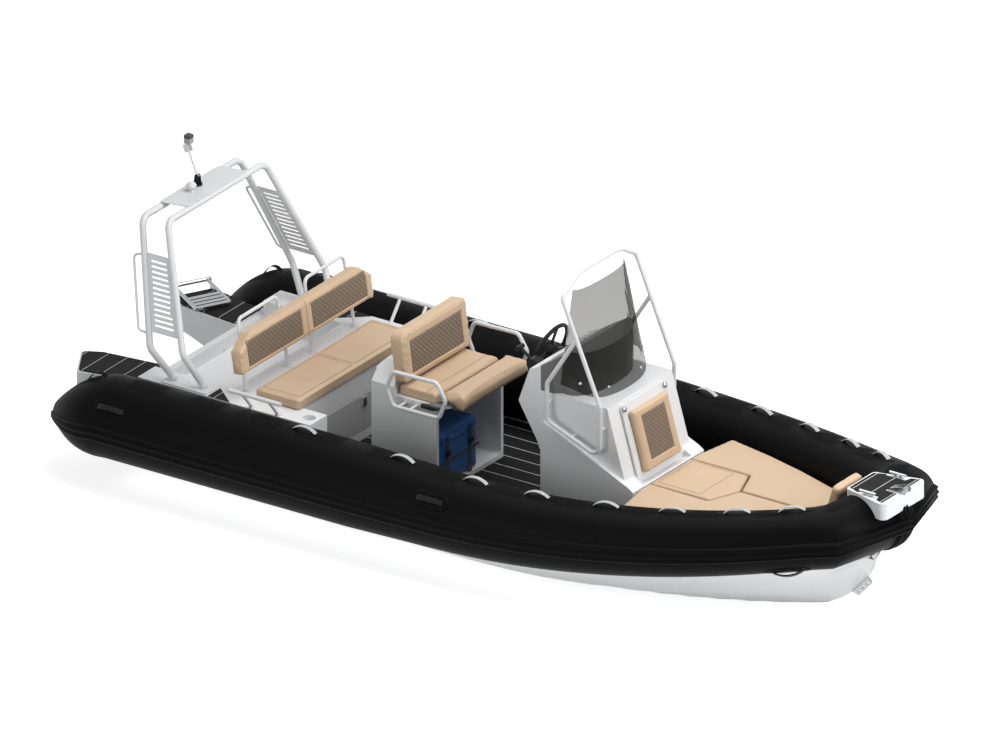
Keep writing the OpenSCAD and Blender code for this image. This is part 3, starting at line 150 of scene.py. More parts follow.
def grid_piece(name, points, body, material, ring=False, uv=None, smooth=True):
    """A closed piece through rows of closed loops, riding on a body.

    A ring joins its last row to its first, and any other piece is capped at both ends. Poles are merged and the normals
    turned outwards. uv, when given, holds two numbers per point; such a piece has no poles.
    """
    rows, cols = points.shape[:2]
    faces = quads(rows, cols, ring).tolist()
    if not ring:
        faces += [list(range(cols)), list(range((rows - 1) * cols, rows * cols))]
    mesh = bpy.data.meshes.new(name)
    mesh.from_pydata(points.reshape(-1, 3).tolist(), [], faces)
    work = bmesh.new()
    work.from_mesh(mesh)
    if uv is None:
        bmesh.ops.remove_doubles(work, verts=work.verts, dist=1e-6)
    bmesh.ops.recalc_face_normals(work, faces=work.faces)
    work.to_mesh(mesh)
    work.free()
    mesh.polygons.foreach_set("use_smooth", np.full(len(mesh.polygons), smooth))
    if uv is not None:
        write_uv(mesh, uv)
    piece = bpy.data.objects.new(name, mesh)
    bpy.context.scene.collection.objects.link(piece)
    mesh.materials.append(material)
    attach(piece, body)
    return piece


def turned(profile, count=32):
    """A profile of (radius, height) pairs turned about Z: (r cos a, r sin a, h)."""
    r, h = np.asarray(profile, float).T[:, :, None]
    a = np.linspace(0, 2 * np.pi, count, endpoint=False)
    return np.stack([r * np.cos(a), r * np.sin(a), np.repeat(h, count, 1)], axis=-1)


def axes_from(normal):
    """Matrix whose third column is the given direction, and whose first two lie square to it."""
    n = np.asarray(normal, float) / np.linalg.norm(normal)
    side = np.cross([0, 0, 1.0], n) if abs(n[2]) < 0.95 else np.array([1.0, 0, 0])
    side /= np.linalg.norm(side)
    return np.stack([side, np.cross(n, side), n], axis=1)


def turned_piece(name, profile, at, normal, body, material, count=32, ring=False):
    """A turned shape standing at a point, its axis along a direction; a ring's profile closes on itself."""
    points = turned(profile, count) @ axes_from(normal).T + np.asarray(at, float)
    return grid_piece(name, points, body, material, ring)


def raised(outline, steps, origin, across, up):
    """Rows of a flat outline that rises off a face; each step gives the outline's scale s and its height h.

    A pair (u, v) goes to origin + s u across + s v up + h out, where out is square to across and up.
    """
    across, up = np.asarray(across, float), np.asarray(up, float)
    scale, height = np.asarray(steps, float).T[:, :, None, None]
    flat = outline[:, :1] * across + outline[:, 1:] * up
    return np.asarray(origin, float) + scale * flat + height * np.cross(across, up)


def rounded_rect(u0, u1, v0, v1, r, n=8):
    """Outline of a rectangle with round corners, as an array of pairs."""
    a = np.linspace(0, np.pi / 2, n)
    arc = np.stack([np.cos(a), np.sin(a)], axis=-1) * r
    turn = np.array([[0, -1], [1, 0]])
    corners = [(u1 - r, v1 - r), (u0 + r, v1 - r), (u0 + r, v0 + r), (u1 - r, v0 + r)]
    parts = []
    for c in corners:
        parts.append(arc + np.array(c))
        arc = arc @ turn.T
    return np.concatenate(parts)


# Shader groups and materials

def socket_group(name, output, **inputs):
    """An empty shader group with named sockets, and its input and output nodes; an input of None is a vector."""
    group = bpy.data.node_groups.new(name, "ShaderNodeTree")
    for label, value in inputs.items():
        kind = "NodeSocketVector" if value is None else "NodeSocketFloat"
        made = group.interface.new_socket(name=label, in_out="INPUT", socket_type=kind)
        if value is not None:
            made.default_value = value
    group.interface.new_socket(name=output, in_out="OUTPUT", socket_type="NodeSocketFloat")
    return group, group.nodes.new("NodeGroupInput"), group.nodes.new("NodeGroupOutput")


def feed(tree, place, value):
    """Gives an input a value: another node's socket, a number or a colour."""
    if isinstance(value, bpy.types.NodeSocket):
        tree.links.new(value, place)
    elif isinstance(value, (int, float)):
        place.default_value = value
    else:
        place.default_value = (*value, 1.0)


def math_node(tree, operation, *values):
    """A Math node; each value is a number or a socket. Returns its output."""
    n = tree.nodes.new("ShaderNodeMath")
    n.operation = operation
    for k, value in enumerate(values):
        feed(tree, n.inputs[k], value)
    return n.outputs[0]


def smooth_mask(tree, value, low, high):
    """Smooth step from 0 at low to 1 at high."""
    n = tree.nodes.new("ShaderNodeMapRange")
    n.interpolation_type = "SMOOTHSTEP"
    for key, number in (("Value", value), ("From Min", low), ("From Max", high)):
        feed(tree, n.inputs[key], number)
    return n.outputs["Result"]


def build_groups():
    """The effects that several materials share."""
    # Grain: soft spots of noise in metres, for paint, foam, leather and webbing
    g, i, o = socket_group("Grain", "Value", Vector=None, Scale=200.0, Detail=3.0)
    noise = g.nodes.new("ShaderNodeTexNoise")
    for key in ("Vector", "Scale", "Detail"):
        g.links.new(i.outputs[key], noise.inputs[key])
    g.links.new(noise.outputs["Fac"], o.inputs["Value"])

    # Ruled lines: 1 within half a width of each multiple of the pitch
    g, i, o = socket_group("Ruled Lines", "Mask", Value=0.0, Pitch=0.1, Width=0.003)
    half = math_node(g, "MULTIPLY", i.outputs["Pitch"], 0.5)
    shifted = math_node(g, "ADD", i.outputs["Value"], half)
    wrapped = math_node(g, "FLOORED_MODULO", shifted, i.outputs["Pitch"])
    distance = math_node(g, "ABSOLUTE", math_node(g, "SUBTRACT", wrapped, half))
    edge = math_node(g, "MULTIPLY", i.outputs["Width"], 0.5)
    soft = smooth_mask(g, distance, math_node(g, "MULTIPLY", edge, 1.5), math_node(g, "MULTIPLY", edge, 0.7))
    g.links.new(soft, o.inputs["Mask"])

    # Inset box: 1 inside a rectangle of U and V with a soft edge
    g, i, o = socket_group("Inset Box", "Mask", U=0.0, V=0.0, U0=0.0, U1=1.0, V0=0.0, V1=1.0)
    parts = []
    for axis in "UV":
        low = math_node(g, "SUBTRACT", i.outputs[axis], i.outputs[axis + "0"])
        high = math_node(g, "SUBTRACT", i.outputs[axis + "1"], i.outputs[axis])
        parts.append(smooth_mask(g, math_node(g, "MINIMUM", low, high), -0.0008, 0.0008))
    g.links.new(math_node(g, "MULTIPLY", *parts), o.inputs["Mask"])

    # Diamond lines: 1 along the two families of diagonals
    g, i, o = socket_group("Diamond Lines", "Mask", U=0.0, V=0.0, Pitch=0.04, Width=0.003)
    masks = []
    for op in ("ADD", "SUBTRACT"):
        lines = g.nodes.new("ShaderNodeGroup")
        lines.node_tree = bpy.data.node_groups["Ruled Lines"]
        g.links.new(math_node(g, op, i.outputs["U"], i.outputs["V"]), lines.inputs["Value"])
        g.links.new(i.outputs["Pitch"], lines.inputs["Pitch"])
        g.links.new(i.outputs["Width"], lines.inputs["Width"])
        masks.append(lines.outputs["Mask"])
    g.links.new(math_node(g, "MAXIMUM", *masks), o.inputs["Mask"])


class Finish:
    """A material under way: its tree, its Principled BSDF, and short calls for the nodes that it needs."""

    def __init__(self, name, roughness, metallic=0.0):
        self.material = bpy.data.materials.new(name)
        self.material.use_nodes = True
        self.tree = self.material.node_tree
        self.bsdf = self.tree.nodes["Principled BSDF"]
        self.plain("Roughness", roughness)
        self.plain("Metallic", metallic)
        coordinate = self.tree.nodes.new("ShaderNodeTexCoord")
        self.object_point, self.uv = coordinate.outputs["Object"], coordinate.outputs["UV"]
        self.bumps = []

    def math(self, operation, *values):
        """A Math node in this material."""
        return math_node(self.tree, operation, *values)

    def plain(self, name, value):
        """Sets an input of the shader that is the same all over."""
        self.bsdf.inputs[name].default_value = value

    def parts(self, vector):
        """The X, Y and Z of a vector."""
        n = self.tree.nodes.new("ShaderNodeSeparateXYZ")
        self.tree.links.new(vector, n.inputs[0])
        return n.outputs

    def group(self, name, **values):
        """Places a shared group; each value is a number or a socket. Returns its first output."""
        n = self.tree.nodes.new("ShaderNodeGroup")
        n.node_tree = bpy.data.node_groups[name]
        for key, value in values.items():
            feed(self.tree, n.inputs[key], value)
        return n.outputs[0]

    def grain(self, scale, detail=3.0):
        """The shared noise on Object coordinates."""
        return self.group("Grain", Vector=self.object_point, Scale=scale, Detail=detail)

    def mix(self, mask, a, b):
        """Colour a where the mask is 0 and b where it is 1; each is a colour or a socket."""
        n = self.tree.nodes.new("ShaderNodeMix")
        n.data_type = "RGBA"
        self.tree.links.new(mask, n.inputs["Factor"])
        for key, value in (("A", a), ("B", b)):
            feed(self.tree, next(x for x in n.inputs if x.name == key and x.type == "RGBA"), value)
        return next(x for x in n.outputs if x.type == "RGBA")

    def colour(self, value):
        """Sets the base colour from a colour or a socket."""
        feed(self.tree, self.bsdf.inputs["Base Color"], value)

    def roughness(self, mask, low, high):
        """Roughness that runs from low to high with a mask."""
        self.tree.links.new(
            self.math("MULTIPLY_ADD", mask, high - low, low), self.bsdf.inputs["Roughness"])

    def bump(self, height, distance, strength=1.0):
        """Adds a bump on top of those before it."""
        n = self.tree.nodes.new("ShaderNodeBump")
        n.inputs["Distance"].default_value = distance
        n.inputs["Strength"].default_value = strength
        self.tree.links.new(height, n.inputs["Height"])
        if self.bumps:
            self.tree.links.new(self.bumps[-1], n.inputs["Normal"])
        self.bumps.append(n.outputs["Normal"])
        self.tree.links.new(n.outputs["Normal"], self.bsdf.inputs["Normal"])


def scaled(colour, factor):
    """A colour made darker or lighter."""
    return tuple(min(1.0, c * factor) for c in colour)


def finish_paint(name="white_paint", tint=1.0, grain_depth=0.00035):
    """White paint with a light orange-peel grain and faint uneven tone; tint scales its colour, and on the hull this is
    painted light and on the pipes painted shade.
    """
    f = Finish(name, 0.38)
    base = scaled(looks().paint, tint)
    tone = f.grain(2.5, 2.0)
    speckle = f.grain(420.0, 2.0)
    f.colour(f.mix(tone, scaled(base, 0.96), base))
    f.roughness(speckle, 0.30, 0.46)
    f.bump(speckle, grain_depth, 0.6)
    return f.material


def finish_console():
    """The console's paint, with a dark grey hood behind the screen."""
    f = Finish("console_paint", 0.38)
    p = f.parts(f.object_point)
    low, high = (0.372, 1.098), (0.376, 1.101)
    hood = f.math("MULTIPLY", *(smooth_mask(f.tree, p[axis], *edge) for axis, edge in zip("XZ", zip(low, high))))
    speckle = f.grain(420.0, 2.0)
    f.colour(f.mix(hood, looks().paint, (0.11, 0.11, 0.108)))
    f.roughness(speckle, 0.30, 0.46)
    f.bump(speckle, 0.00035, 0.6)
    return f.material


def band(f, value, centre, half):
    """1 where a value lies within half of a centre, with a soft edge."""
    d = f.math("ABSOLUTE", f.math("SUBTRACT", value, centre))
    return smooth_mask(f.tree, d, half * 1.06, half * 0.94)


def finish_tube():
    """Coated fabric: black satin with a fine weave, taped seams, and rough treads on top."""
    f = Finish("tube_fabric", 0.42)
    f.plain("Specular IOR Level", 0.05)
    p = f.parts(f.uv)
    u, v = p["X"], p["Y"]
    weave = f.grain(900.0, 1.0)
    cloud = f.grain(3.0, 2.0)
    tape = f.group("Ruled Lines", Value=u, Pitch=1.37, Width=0.045)
    long_seam = f.math("MAXIMUM", band(f, v, 61.0 / 360, 0.004), band(f, v, 139.0 / 360, 0.004))
    seam = f.math("MAXIMUM", tape, long_seam)
    tread_row = band(f, v, 93.0 / 360, 0.052)
    gap = f.group("Ruled Lines", Value=u, Pitch=0.455, Width=0.19)
    tread = f.math("MULTIPLY", tread_row, f.math("SUBTRACT", 1.0, gap))
    ribs = f.group("Diamond Lines", U=u, V=f.math("MULTIPLY", v, 1.5), Pitch=0.012, Width=0.004)
    base = looks().tube
    f.colour(f.mix(tread, f.mix(cloud, base, scaled(base, 1.6)), scaled(base, 2.6)))
    f.roughness(f.math("MAXIMUM", tread, f.math("MULTIPLY", weave, 0.35)), 0.42, 0.75)
    f.bump(weave, 0.0003, 0.35)
    f.bump(seam, 0.0012, 0.8)
    f.bump(f.math("MULTIPLY", ribs, tread), 0.0008, 0.8)
    return f.material


def finish_rubber(name, colour, roughness=0.5, shine=0.12):
    """Moulded rubber or plastic with a fine leathery grain."""
    f = Finish(name, roughness)
    f.plain("Specular IOR Level", shine)
    spots = f.grain(260.0, 3.0)
    f.colour(f.mix(spots, scaled(colour, 0.8), scaled(colour, 1.2)))
    f.roughness(spots, roughness - 0.08, roughness + 0.1)
    f.bump(spots, 0.0003, 0.5)
    return f.material


def finish_foam(name, along, pitch):
    """Closed-cell foam, brushed, with pale straight lines cut through to its lower layer."""
    f = Finish(name, 0.8)
    f.plain("Specular IOR Level", 0.2)
    p = f.parts(f.object_point)
    brushed = f.grain(700.0, 2.0)
    lines = f.group("Ruled Lines", Value=p[along], Pitch=pitch, Width=0.0055)
    base = looks().foam
    f.colour(f.mix(lines, f.mix(brushed, scaled(base, 0.75), scaled(base, 1.5)), looks().foam_line))
    f.roughness(brushed, 0.7, 0.92)
    f.bump(brushed, 0.0006, 0.6)
    f.bump(f.math("SUBTRACT", 1.0, lines), 0.0015, 0.8)
    return f.material


def finish_steel(name="polished_steel", colour=(0.40, 0.41, 0.42), rough=(0.16, 0.30)):
    """Polished steel with fine drawing marks."""
    f = Finish(name, rough[0], 1.0)
    f.colour(colour)
    marks = f.grain(160.0, 4.0)
    f.roughness(marks, *rough)
    f.bump(marks, 0.00008, 0.4)
    return f.material


def finish_webbing(name, colour):
    """Woven webbing: narrow ribs across the band and a fuzzy surface."""
    f = Finish(name, 0.75)
    p = f.parts(f.object_point)
    ribs = f.group("Ruled Lines", Value=f.math("ADD", p["X"], p["Y"]), Pitch=0.0032, Width=0.0016)
    fuzz = f.grain(800.0, 2.0)
    f.colour(f.mix(ribs, scaled(colour, 0.82), colour))
    f.bump(ribs, 0.0006, 0.7)
    f.bump(fuzz, 0.0003, 0.5)
    f.plain("Sheen Weight", 0.2)
    return f.material


def finish_screen():
    """Tinted see-through sheet that lets the lamps' light through."""
    f = Finish("tinted_screen", 0.0)
    f.colour((0.30, 0.298, 0.295))
    f.plain("Transmission Weight", 1.0)
    f.plain("IOR", 1.03)
    clear = f.tree.nodes.new("ShaderNodeBsdfTransparent")
    clear.inputs["Color"].default_value = (0.85, 0.85, 0.85, 1.0)
    path = f.tree.nodes.new("ShaderNodeLightPath")
    either = f.tree.nodes.new("ShaderNodeMixShader")
    f.tree.links.new(path.outputs["Is Shadow Ray"], either.inputs["Fac"])
    f.tree.links.new(f.bsdf.outputs["BSDF"], either.inputs[1])
    f.tree.links.new(clear.outputs["BSDF"], either.inputs[2])
    f.tree.links.new(either.outputs["Shader"], f.tree.nodes["Material Output"].inputs["Surface"])
    return f.material


def finish_pad(name, insets, embossed):
    """Marine upholstery: pebbled tan cover, dark quilted insets with sewn diagonals, and dark stitched seams.

    The UV map holds metres in the plane of the pad, and the attribute seam is 1 along the seams.
    """
    f = Finish(name, 0.5)
    p = f.parts(f.uv)
    u, v = p["X"], p["Y"]
    pebble = f.grain(650.0, 3.0)
    tone = f.grain(7.0, 2.0)
    tan, dark = looks().tan, looks().tan_inset
    cover = f.mix(tone, scaled(tan, 0.93), scaled(tan, 1.04))
    lines = f.group("Diamond Lines", U=u, V=v, Pitch=looks().quilt_pitch, Width=0.0035)
    for u0, u1, v0, v1 in insets:
        box = f.group("Inset Box", U=u, V=v, U0=u0, U1=u1, V0=v0, V1=v1)
        cover = f.mix(box, cover, f.mix(lines, dark, scaled(dark, 0.45)))
    if embossed:
        mesh_lines = f.group("Diamond Lines", U=u, V=v, Pitch=0.0085, Width=0.0026)
        cover = f.mix(f.math("MULTIPLY", mesh_lines, 0.35), cover, scaled(tan, 0.62))
        f.bump(mesh_lines, 0.0005, 0.5)
    seam = f.tree.nodes.new("ShaderNodeAttribute")
    seam.attribute_name = "seam"
    f.colour(f.mix(seam.outputs["Fac"], cover, scaled(tan, 0.28)))
    f.roughness(pebble, 0.42, 0.6)
    f.bump(pebble, 0.0003, 0.5)
    f.plain("Sheen Weight", 0.12)
    return f.material


def finish_bag():
    """Blue coated fabric of the cool bag with a coarse weave."""
    f = Finish("bag_fabric", 0.6)
    p = f.parts(f.object_point)
    weave = f.group("Diamond Lines", U=p["Y"], V=p["Z"], Pitch=0.004, Width=0.0016)
    tone = f.grain(9.0, 2.0)
    base = looks().bag
    f.colour(f.mix(tone, scaled(base, 0.8), scaled(base, 1.25)))
    f.bump(weave, 0.0005, 0.6)
    f.plain("Sheen Weight", 0.15)
    return f.material


def paint_nodes(material, *names):
    """Gives carried-over solids a material."""
    for name in names:
        mesh = NODES[name].data
        mesh.materials.clear()
        mesh.materials.append(material)


# Air tubes

def ring_values(x):
    """Axis, radius and heading of the port tube where it runs along X: straight, then an arc of radius BEND_R."""
    x = np.asarray(x, float)
    past = np.clip(x - BEND_X, 0, None)
    y = TUBE_Y - (BEND_R - np.sqrt(BEND_R ** 2 - past ** 2))
    z = TUBE_Z + SHEER_RISE * (np.clip(x, 0, None) / CORNER_X) ** 2
    r = TUBE_R + (TUBE_BOW_R - TUBE_R) * np.clip((x - TAPER_AFT_X) / (TAPER_FORE_X - TAPER_AFT_X), 0, 1)
    return np.stack([x, y, z], axis=-1), r, -np.arcsin(past / BEND_R), np.ones_like(x)


def tube_rings():
    """Rings of the whole port tube: stern cone, straight, arc, mitred corner and nose."""
    s = 1 - np.linspace(0, 1, 22)[:-1] ** 1.3
    cone_c = np.stack([TUBE_AFT_X - CONE_LEN * s, np.full_like(s, TUBE_Y), TUBE_Z - CONE_DROP * s], axis=-1)
    cone_r = TUBE_R + (CONE_END_R - TUBE_R) * s ** CONE_POWER
    x = np.concatenate([np.linspace(TUBE_AFT_X, BEND_X, 60), np.linspace(BEND_X, CORNER_X - MITRE_ROOM, 90)[1:]])
    body = ring_values(x)
    corner_c, corner_r, corner_h, _ = ring_values([CORNER_X])
    nose_z = TUBE_Z + SHEER_RISE * (NOSE_X / CORNER_X) ** 2
    nose_h = math.atan2(-corner_c[0, 1], NOSE_X - CORNER_X)
    centre = np.concatenate([cone_c, body[0], corner_c, [[NOSE_X, 0, nose_z]]])
    radius = np.concatenate([cone_r, body[1], corner_r, [TUBE_BOW_R]])
    head = np.concatenate([np.zeros_like(s), body[2], (corner_h + nose_h) / 2, [-math.pi / 2]])
    widen = np.concatenate([
        np.ones_like(s), body[3], 1 / np.cos((corner_h - nose_h) / 2), [1 / math.cos(nose_h + math.pi / 2)]])
    return centre, radius, head, widen


def on_skin(rings, angle, lift):
    """Points on the rings at angles round the tube (0 outboard, a quarter turn on top), lifted off the skin.

    angle and lift have one column per point of the ring.
    """
    centre, radius, head, widen = rings
    full = radius[:, None] + lift
    reach = full * widen[:, None] * np.cos(angle)
    return np.stack([
        centre[:, None, 0] - np.sin(head)[:, None] * reach,
        centre[:, None, 1] + np.cos(head)[:, None] * reach,
        centre[:, None, 2] + full * np.sin(angle)], axis=-1)


def along(rings):
    """Distance along the tube's axis at each ring."""
    step = np.linalg.norm(np.diff(rings[0], axis=0), axis=1)
    return np.concatenate([[0], np.cumsum(step)])


def mirrored(points, side):
    """The points as they are to port, or mirrored to starboard."""
    return points * np.array([1, side, 1])


SIDES = (("port", 1), ("starboard", -1))
X_AXIS, Y_AXIS, Z_AXIS = np.eye(3)


def strake_rows(rings):
    """Rows of the rub strake: a flat band with round edges, on which a cosine wave makes the long ridges."""
    a = np.linspace(-STRAKE_HALF, STRAKE_HALF, 31)
    flat = np.clip(1 - np.abs(a / STRAKE_HALF) ** 5, 0, 1) ** 0.6
    ridge = flat * (0.80 + 0.20 * np.cos(np.radians(a * 36)))
    lift = SKIN_SEAT + np.concatenate([[0], STRAKE_LIFT * ridge, [0]])
    at = np.radians(np.concatenate([[-STRAKE_HALF - STRAKE_EDGE], a, [STRAKE_HALF + STRAKE_EDGE]]))
    points = on_skin(rings, at[None, :], lift[None, :])
    points[..., 1] = np.maximum(points[..., 1], MID_GAP)
    return points


def bow_band_rows(rings, around):
    """Rows of the band at the nose: the skin between the last two rings, swelled by two half sine waves.

    Its first and last rows lie under the skin, so that the band closes as a ring.
    """
    share = np.linspace(BAND_FROM, 1.0, 15)
    share = np.concatenate([share[:1], share, share[-1:]])[:, None, None]
    nose = tuple(part[-2:] for part in rings)
    ends, axis = on_skin(nose, around, 0.0), nose[0][:, None]
    wall = ends[0] * (1 - share) + ends[1] * share
    out = wall - axis[0] * (1 - share) - axis[1] * share
    out /= np.linalg.norm(out, axis=-1, keepdims=True)
    swell = SKIN_SEAT + BAND_LIFT * np.abs(np.sin(2 * np.pi * (share - BAND_FROM) / (1 - BAND_FROM))) ** 0.7
    swell[[0, -1]] = -BAND_UNDER
    points = wall + out * swell
    points[..., 1] = np.maximum(points[..., 1], MID_GAP)
    return points


def patch(name, x, angle, size, side, material):
    """A glued patch on the tube: a superellipse of the given half lengths, domed to its thickness."""
    half_length, half_width, thick = size
    rows, cols, edge = 9, 32, 0.0004
    share = np.linspace(0, 1, rows)[:, None]
    a = np.linspace(0, 2 * np.pi, cols, endpoint=False)[None, :]
    sx = np.sign(np.cos(a)) * np.abs(np.cos(a)) ** 0.6 * half_length
    sv = np.sign(np.sin(a)) * np.abs(np.sin(a)) ** 0.6 * half_width
    px, pv = (x + share * sx).ravel(), (share * sv).ravel()
    rings = ring_values(px)
    lift = np.broadcast_to(thick * (1 - share ** 6), (rows, cols)).ravel() + edge
    turn = np.radians(angle) + pv / rings[1]
    top = on_skin(rings, turn[:, None], lift[:, None])[:, 0].reshape(rows, cols, 3)
    grid_piece(name, mirrored(top, side), "boat", material)


def cone_loop(name, side, material):
    """A webbing loop on top of a stern cone: it rises as half a sine wave over the cone's upper edge."""
    t = np.linspace(0, 1, 25)
    s = LOOP_FROM + LOOP_SHARE * t
    top = TUBE_Z - CONE_DROP * s + TUBE_R + (CONE_END_R - TUBE_R) * s ** CONE_POWER
    x = TUBE_AFT_X - CONE_LEN * s
    rise = top + SKIN_SEAT + LOOP_RISE * np.sin(np.pi * t)
    across, thick = LOOP_HALF * np.array([-1, 1, 1, -1]), LOOP_THICK * np.array([0, 0, 1, 1])
    points = np.stack(np.broadcast_arrays(x[:, None], TUBE_Y + across, rise[:, None] + thick), axis=-1)
    grid_piece(name, mirrored(points, side), "boat", material, smooth=False)


class BOAT_OT_tubes(bpy.types.Operator):
    """Makes the round air tubes, their rub strakes, bow bands and stern loops, and the patches under the handles"""

    bl_idname = "boat.tubes"
    bl_label = "Air tubes"

    def execute(self, context):
        rings = tube_rings()
        fabric = finish_tube()
        rubber = finish_rubber("strake_rubber", (0.0018, 0.0018, 0.002), 0.5, 0.05)
        around = np.radians(np.arange(72) * 5.0)[None, :]
        skin = on_skin(rings, around, 0.0)
        uv = np.stack(np.broadcast_arrays(along(rings)[:, None], np.degrees(around) / 360), axis=-1)
        strake, bow_band = strake_rows(rings), bow_band_rows(rings, around)
        for name, side in SIDES:
            tube = grid_piece("air_tube_" + name, mirrored(skin, side), "boat", fabric, uv=uv)
            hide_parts("tube_" + name)
            ridged = grid_piece("strake_" + name, mirrored(strake, side), "boat", rubber)
            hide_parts("rub_strakes")
            grid_piece("bow_band_" + name, mirrored(bow_band, side), "boat", rubber, ring=True)
            for k, (x, angle) in enumerate(CARRY_PLACES):
                patch(f"handle_patch_{name}_{k}", x, angle, HANDLE_PATCH, side, rubber)
            cone_loop("cone_loop_" + name, side, rubber)
            for k, x in enumerate(STRAP_X):
                for label, end in (("a", -STRAP_END), ("b", STRAP_END)):
                    patch(f"strap_patch_{name}_{k}_{label}", x + end, 90.0, STRAP_PATCH, side, rubber)
        return {"FINISHED"}


# Padded pieces

def leaned(degrees):
    """Normal and upward direction of a pad that leans aft by an angle, from vertical."""
    a = math.radians(degrees)
    return np.array([math.cos(a), 0, math.sin(a)]), np.array([-math.sin(a), 0, math.cos(a)])


UP = (Z_AXIS, X_AXIS)
BENCH = leaned(9.0)
HELM = leaned(7.5)
DOOR = leaned(16.1)
BOW = tuple(direction * np.array([-1, 1, 1]) for direction in leaned(17.0))


def rect(u0, u1, v0, v1):
    """The four sides of a rectangle as segments."""
    c = [(u0, v0), (u1, v0), (u1, v1), (u0, v1)]
    return [(c[k], c[(k + 1) % 4]) for k in range(4)]


BENCH_INSETS = ((0.055, 0.660, 0.045, 0.212), (-0.660, -0.055, 0.045, 0.212))
# Each pad: name, solid, body, normal and upward direction, insets, seams, embossed, voxel size. Insets and seams are in
# metres across from the boat's middle and up from the pad's lower edge.
PADS = (
    ("bench_seat_pad", "bench_cushion", "boat", UP, (),
     rect(-0.60, -0.012, 0.045, 0.315) + rect(0.012, 0.60, 0.045, 0.315), True, 0.009),
    ("bench_back_pad", "bench_backrest", "boat", BENCH, BENCH_INSETS, [((0, 0.0), (0, 0.27))], False, 0.008),
    ("helm_seat_pad", "helm_cushion", "boat", UP, (), [((-0.36, 0.215), (0.36, 0.215))], True, 0.008),
    ("helm_back_pad", "helm_backrest", "boat", HELM, ((-0.285, 0.285, 0.060, 0.275),), (), False, 0.008),
    ("helm_bolster_pad", "helm_bolster", "bolster", UP, (), [((-0.36, 0.03), (0.36, 0.03))], True, 0.008),
    ("console_front_pad", "console_pad", "console_lid", DOOR, ((-0.128, 0.128, 0.075, 0.368),), (), False, 0.006),
    ("bow_back_pad", "bow_backrest", "boat", BOW, ((-0.115, 0.115, 0.05, 0.26),), (), False, 0.007),
)


def loose_parts(mesh):
    """Splits a solid's triangles into its separate closed parts, largest first, as (points, faces).

    Each point starts with its own number, and faces hand the lowest number on until nothing changes.
    """
    merged = bpy.data.meshes.new("merged")
    work = bmesh.new()
    work.from_mesh(mesh)
    bmesh.ops.remove_doubles(work, verts=work.verts, dist=1e-5)
    work.to_mesh(merged)
    work.free()
    points = coordinates(merged)
    faces = np.empty(len(merged.loops), dtype=np.int64)
    merged.loops.foreach_get("vertex_index", faces)
    faces = faces.reshape(-1, 3)
    bpy.data.meshes.remove(merged)
    label, before = np.arange(len(points)), None
    while before is None or (label != before).any():
        before = label.copy()
        np.minimum.at(label, faces, label[faces].min(axis=1, keepdims=True))
    parts = []
    for number in np.unique(label):
        member = label == number
        order = np.cumsum(member) - 1
        parts.append((points[member], order[faces[member[faces[:, 0]]]].tolist()))
    return sorted(parts, key=lambda p: -len(p[1]))


def evaluated(piece):
    """A copy of the piece's mesh with its modifiers applied."""
    graph = bpy.context.evaluated_depsgraph_get()
    return bpy.data.meshes.new_from_object(piece.evaluated_get(graph))


def coordinates(mesh):
    """The mesh's points as an array."""
    co = np.empty(len(mesh.vertices) * 3, dtype=np.float32)
    mesh.vertices.foreach_get("co", co)
    return co.reshape(-1, 3).astype(float)


def swap_mesh(piece, mesh):
    """Gives the piece another mesh and drops its modifiers."""
    piece.modifiers.clear()
    old = piece.data
    piece.data = mesh
    bpy.data.meshes.remove(old)


def stuff(piece, basis, low, high, voxel, cap):
    """Fills a pad: remeshes it, blows it up as cloth under pressure, and keeps each point within cap of its start.

    basis turns points into the pad's own (U, V, normal); low and high are the solid's limits there.
    """
    remesh = piece.modifiers.new("cells", "REMESH")
    remesh.mode = "VOXEL"
    remesh.voxel_size = voxel
    swap_mesh(piece, evaluated(piece))
    before = coordinates(piece.data)
    after = before
    cloth = piece.modifiers.new("stuffing", "CLOTH")
    settings = cloth.settings
    settings.quality = 4
    settings.mass = 0.35
    settings.tension_stiffness = 12
    settings.compression_stiffness = 12
    settings.bending_stiffness = 0.4
    settings.use_pressure = True
    settings.uniform_pressure_force = 4.0
    settings.effector_weights.gravity = 0.0
    cloth.point_cache.frame_start = 1
    cloth.point_cache.frame_end = CLOTH_FRAMES
    for number in range(1, CLOTH_FRAMES + 1):
        bpy.context.scene.frame_set(number)
    after = coordinates(evaluated(piece))
    piece.modifiers.clear()
    bpy.context.scene.frame_set(1)
    move = after - before
    size = np.linalg.norm(move, axis=1, keepdims=True)
    after = before + move * np.minimum(1, cap / np.maximum(size, 1e-9))
    local = np.clip(after @ basis, low, high)
    piece.data.vertices.foreach_set("co", (local @ basis.T).astype(np.float32).ravel())
    smooth = piece.modifiers.new("cover", "SUBSURF")
    smooth.levels = smooth.render_levels = 1
    swap_mesh(piece, evaluated(piece))


def segment_distance(points, a, b):
    """Distance of each pair in an array from a segment."""
    a, b = np.asarray(a, float), np.asarray(b, float)
    t = np.clip(((points - a) @ (b - a)) / ((b - a) @ (b - a)), 0, 1)
    return np.linalg.norm(points - a - t[:, None] * (b - a), axis=1)


def bell(distance, depth, width):
    """Bell curve of a distance: depth times e to the minus square of distance over width."""
    return depth * np.exp(-(distance / width) ** 2)


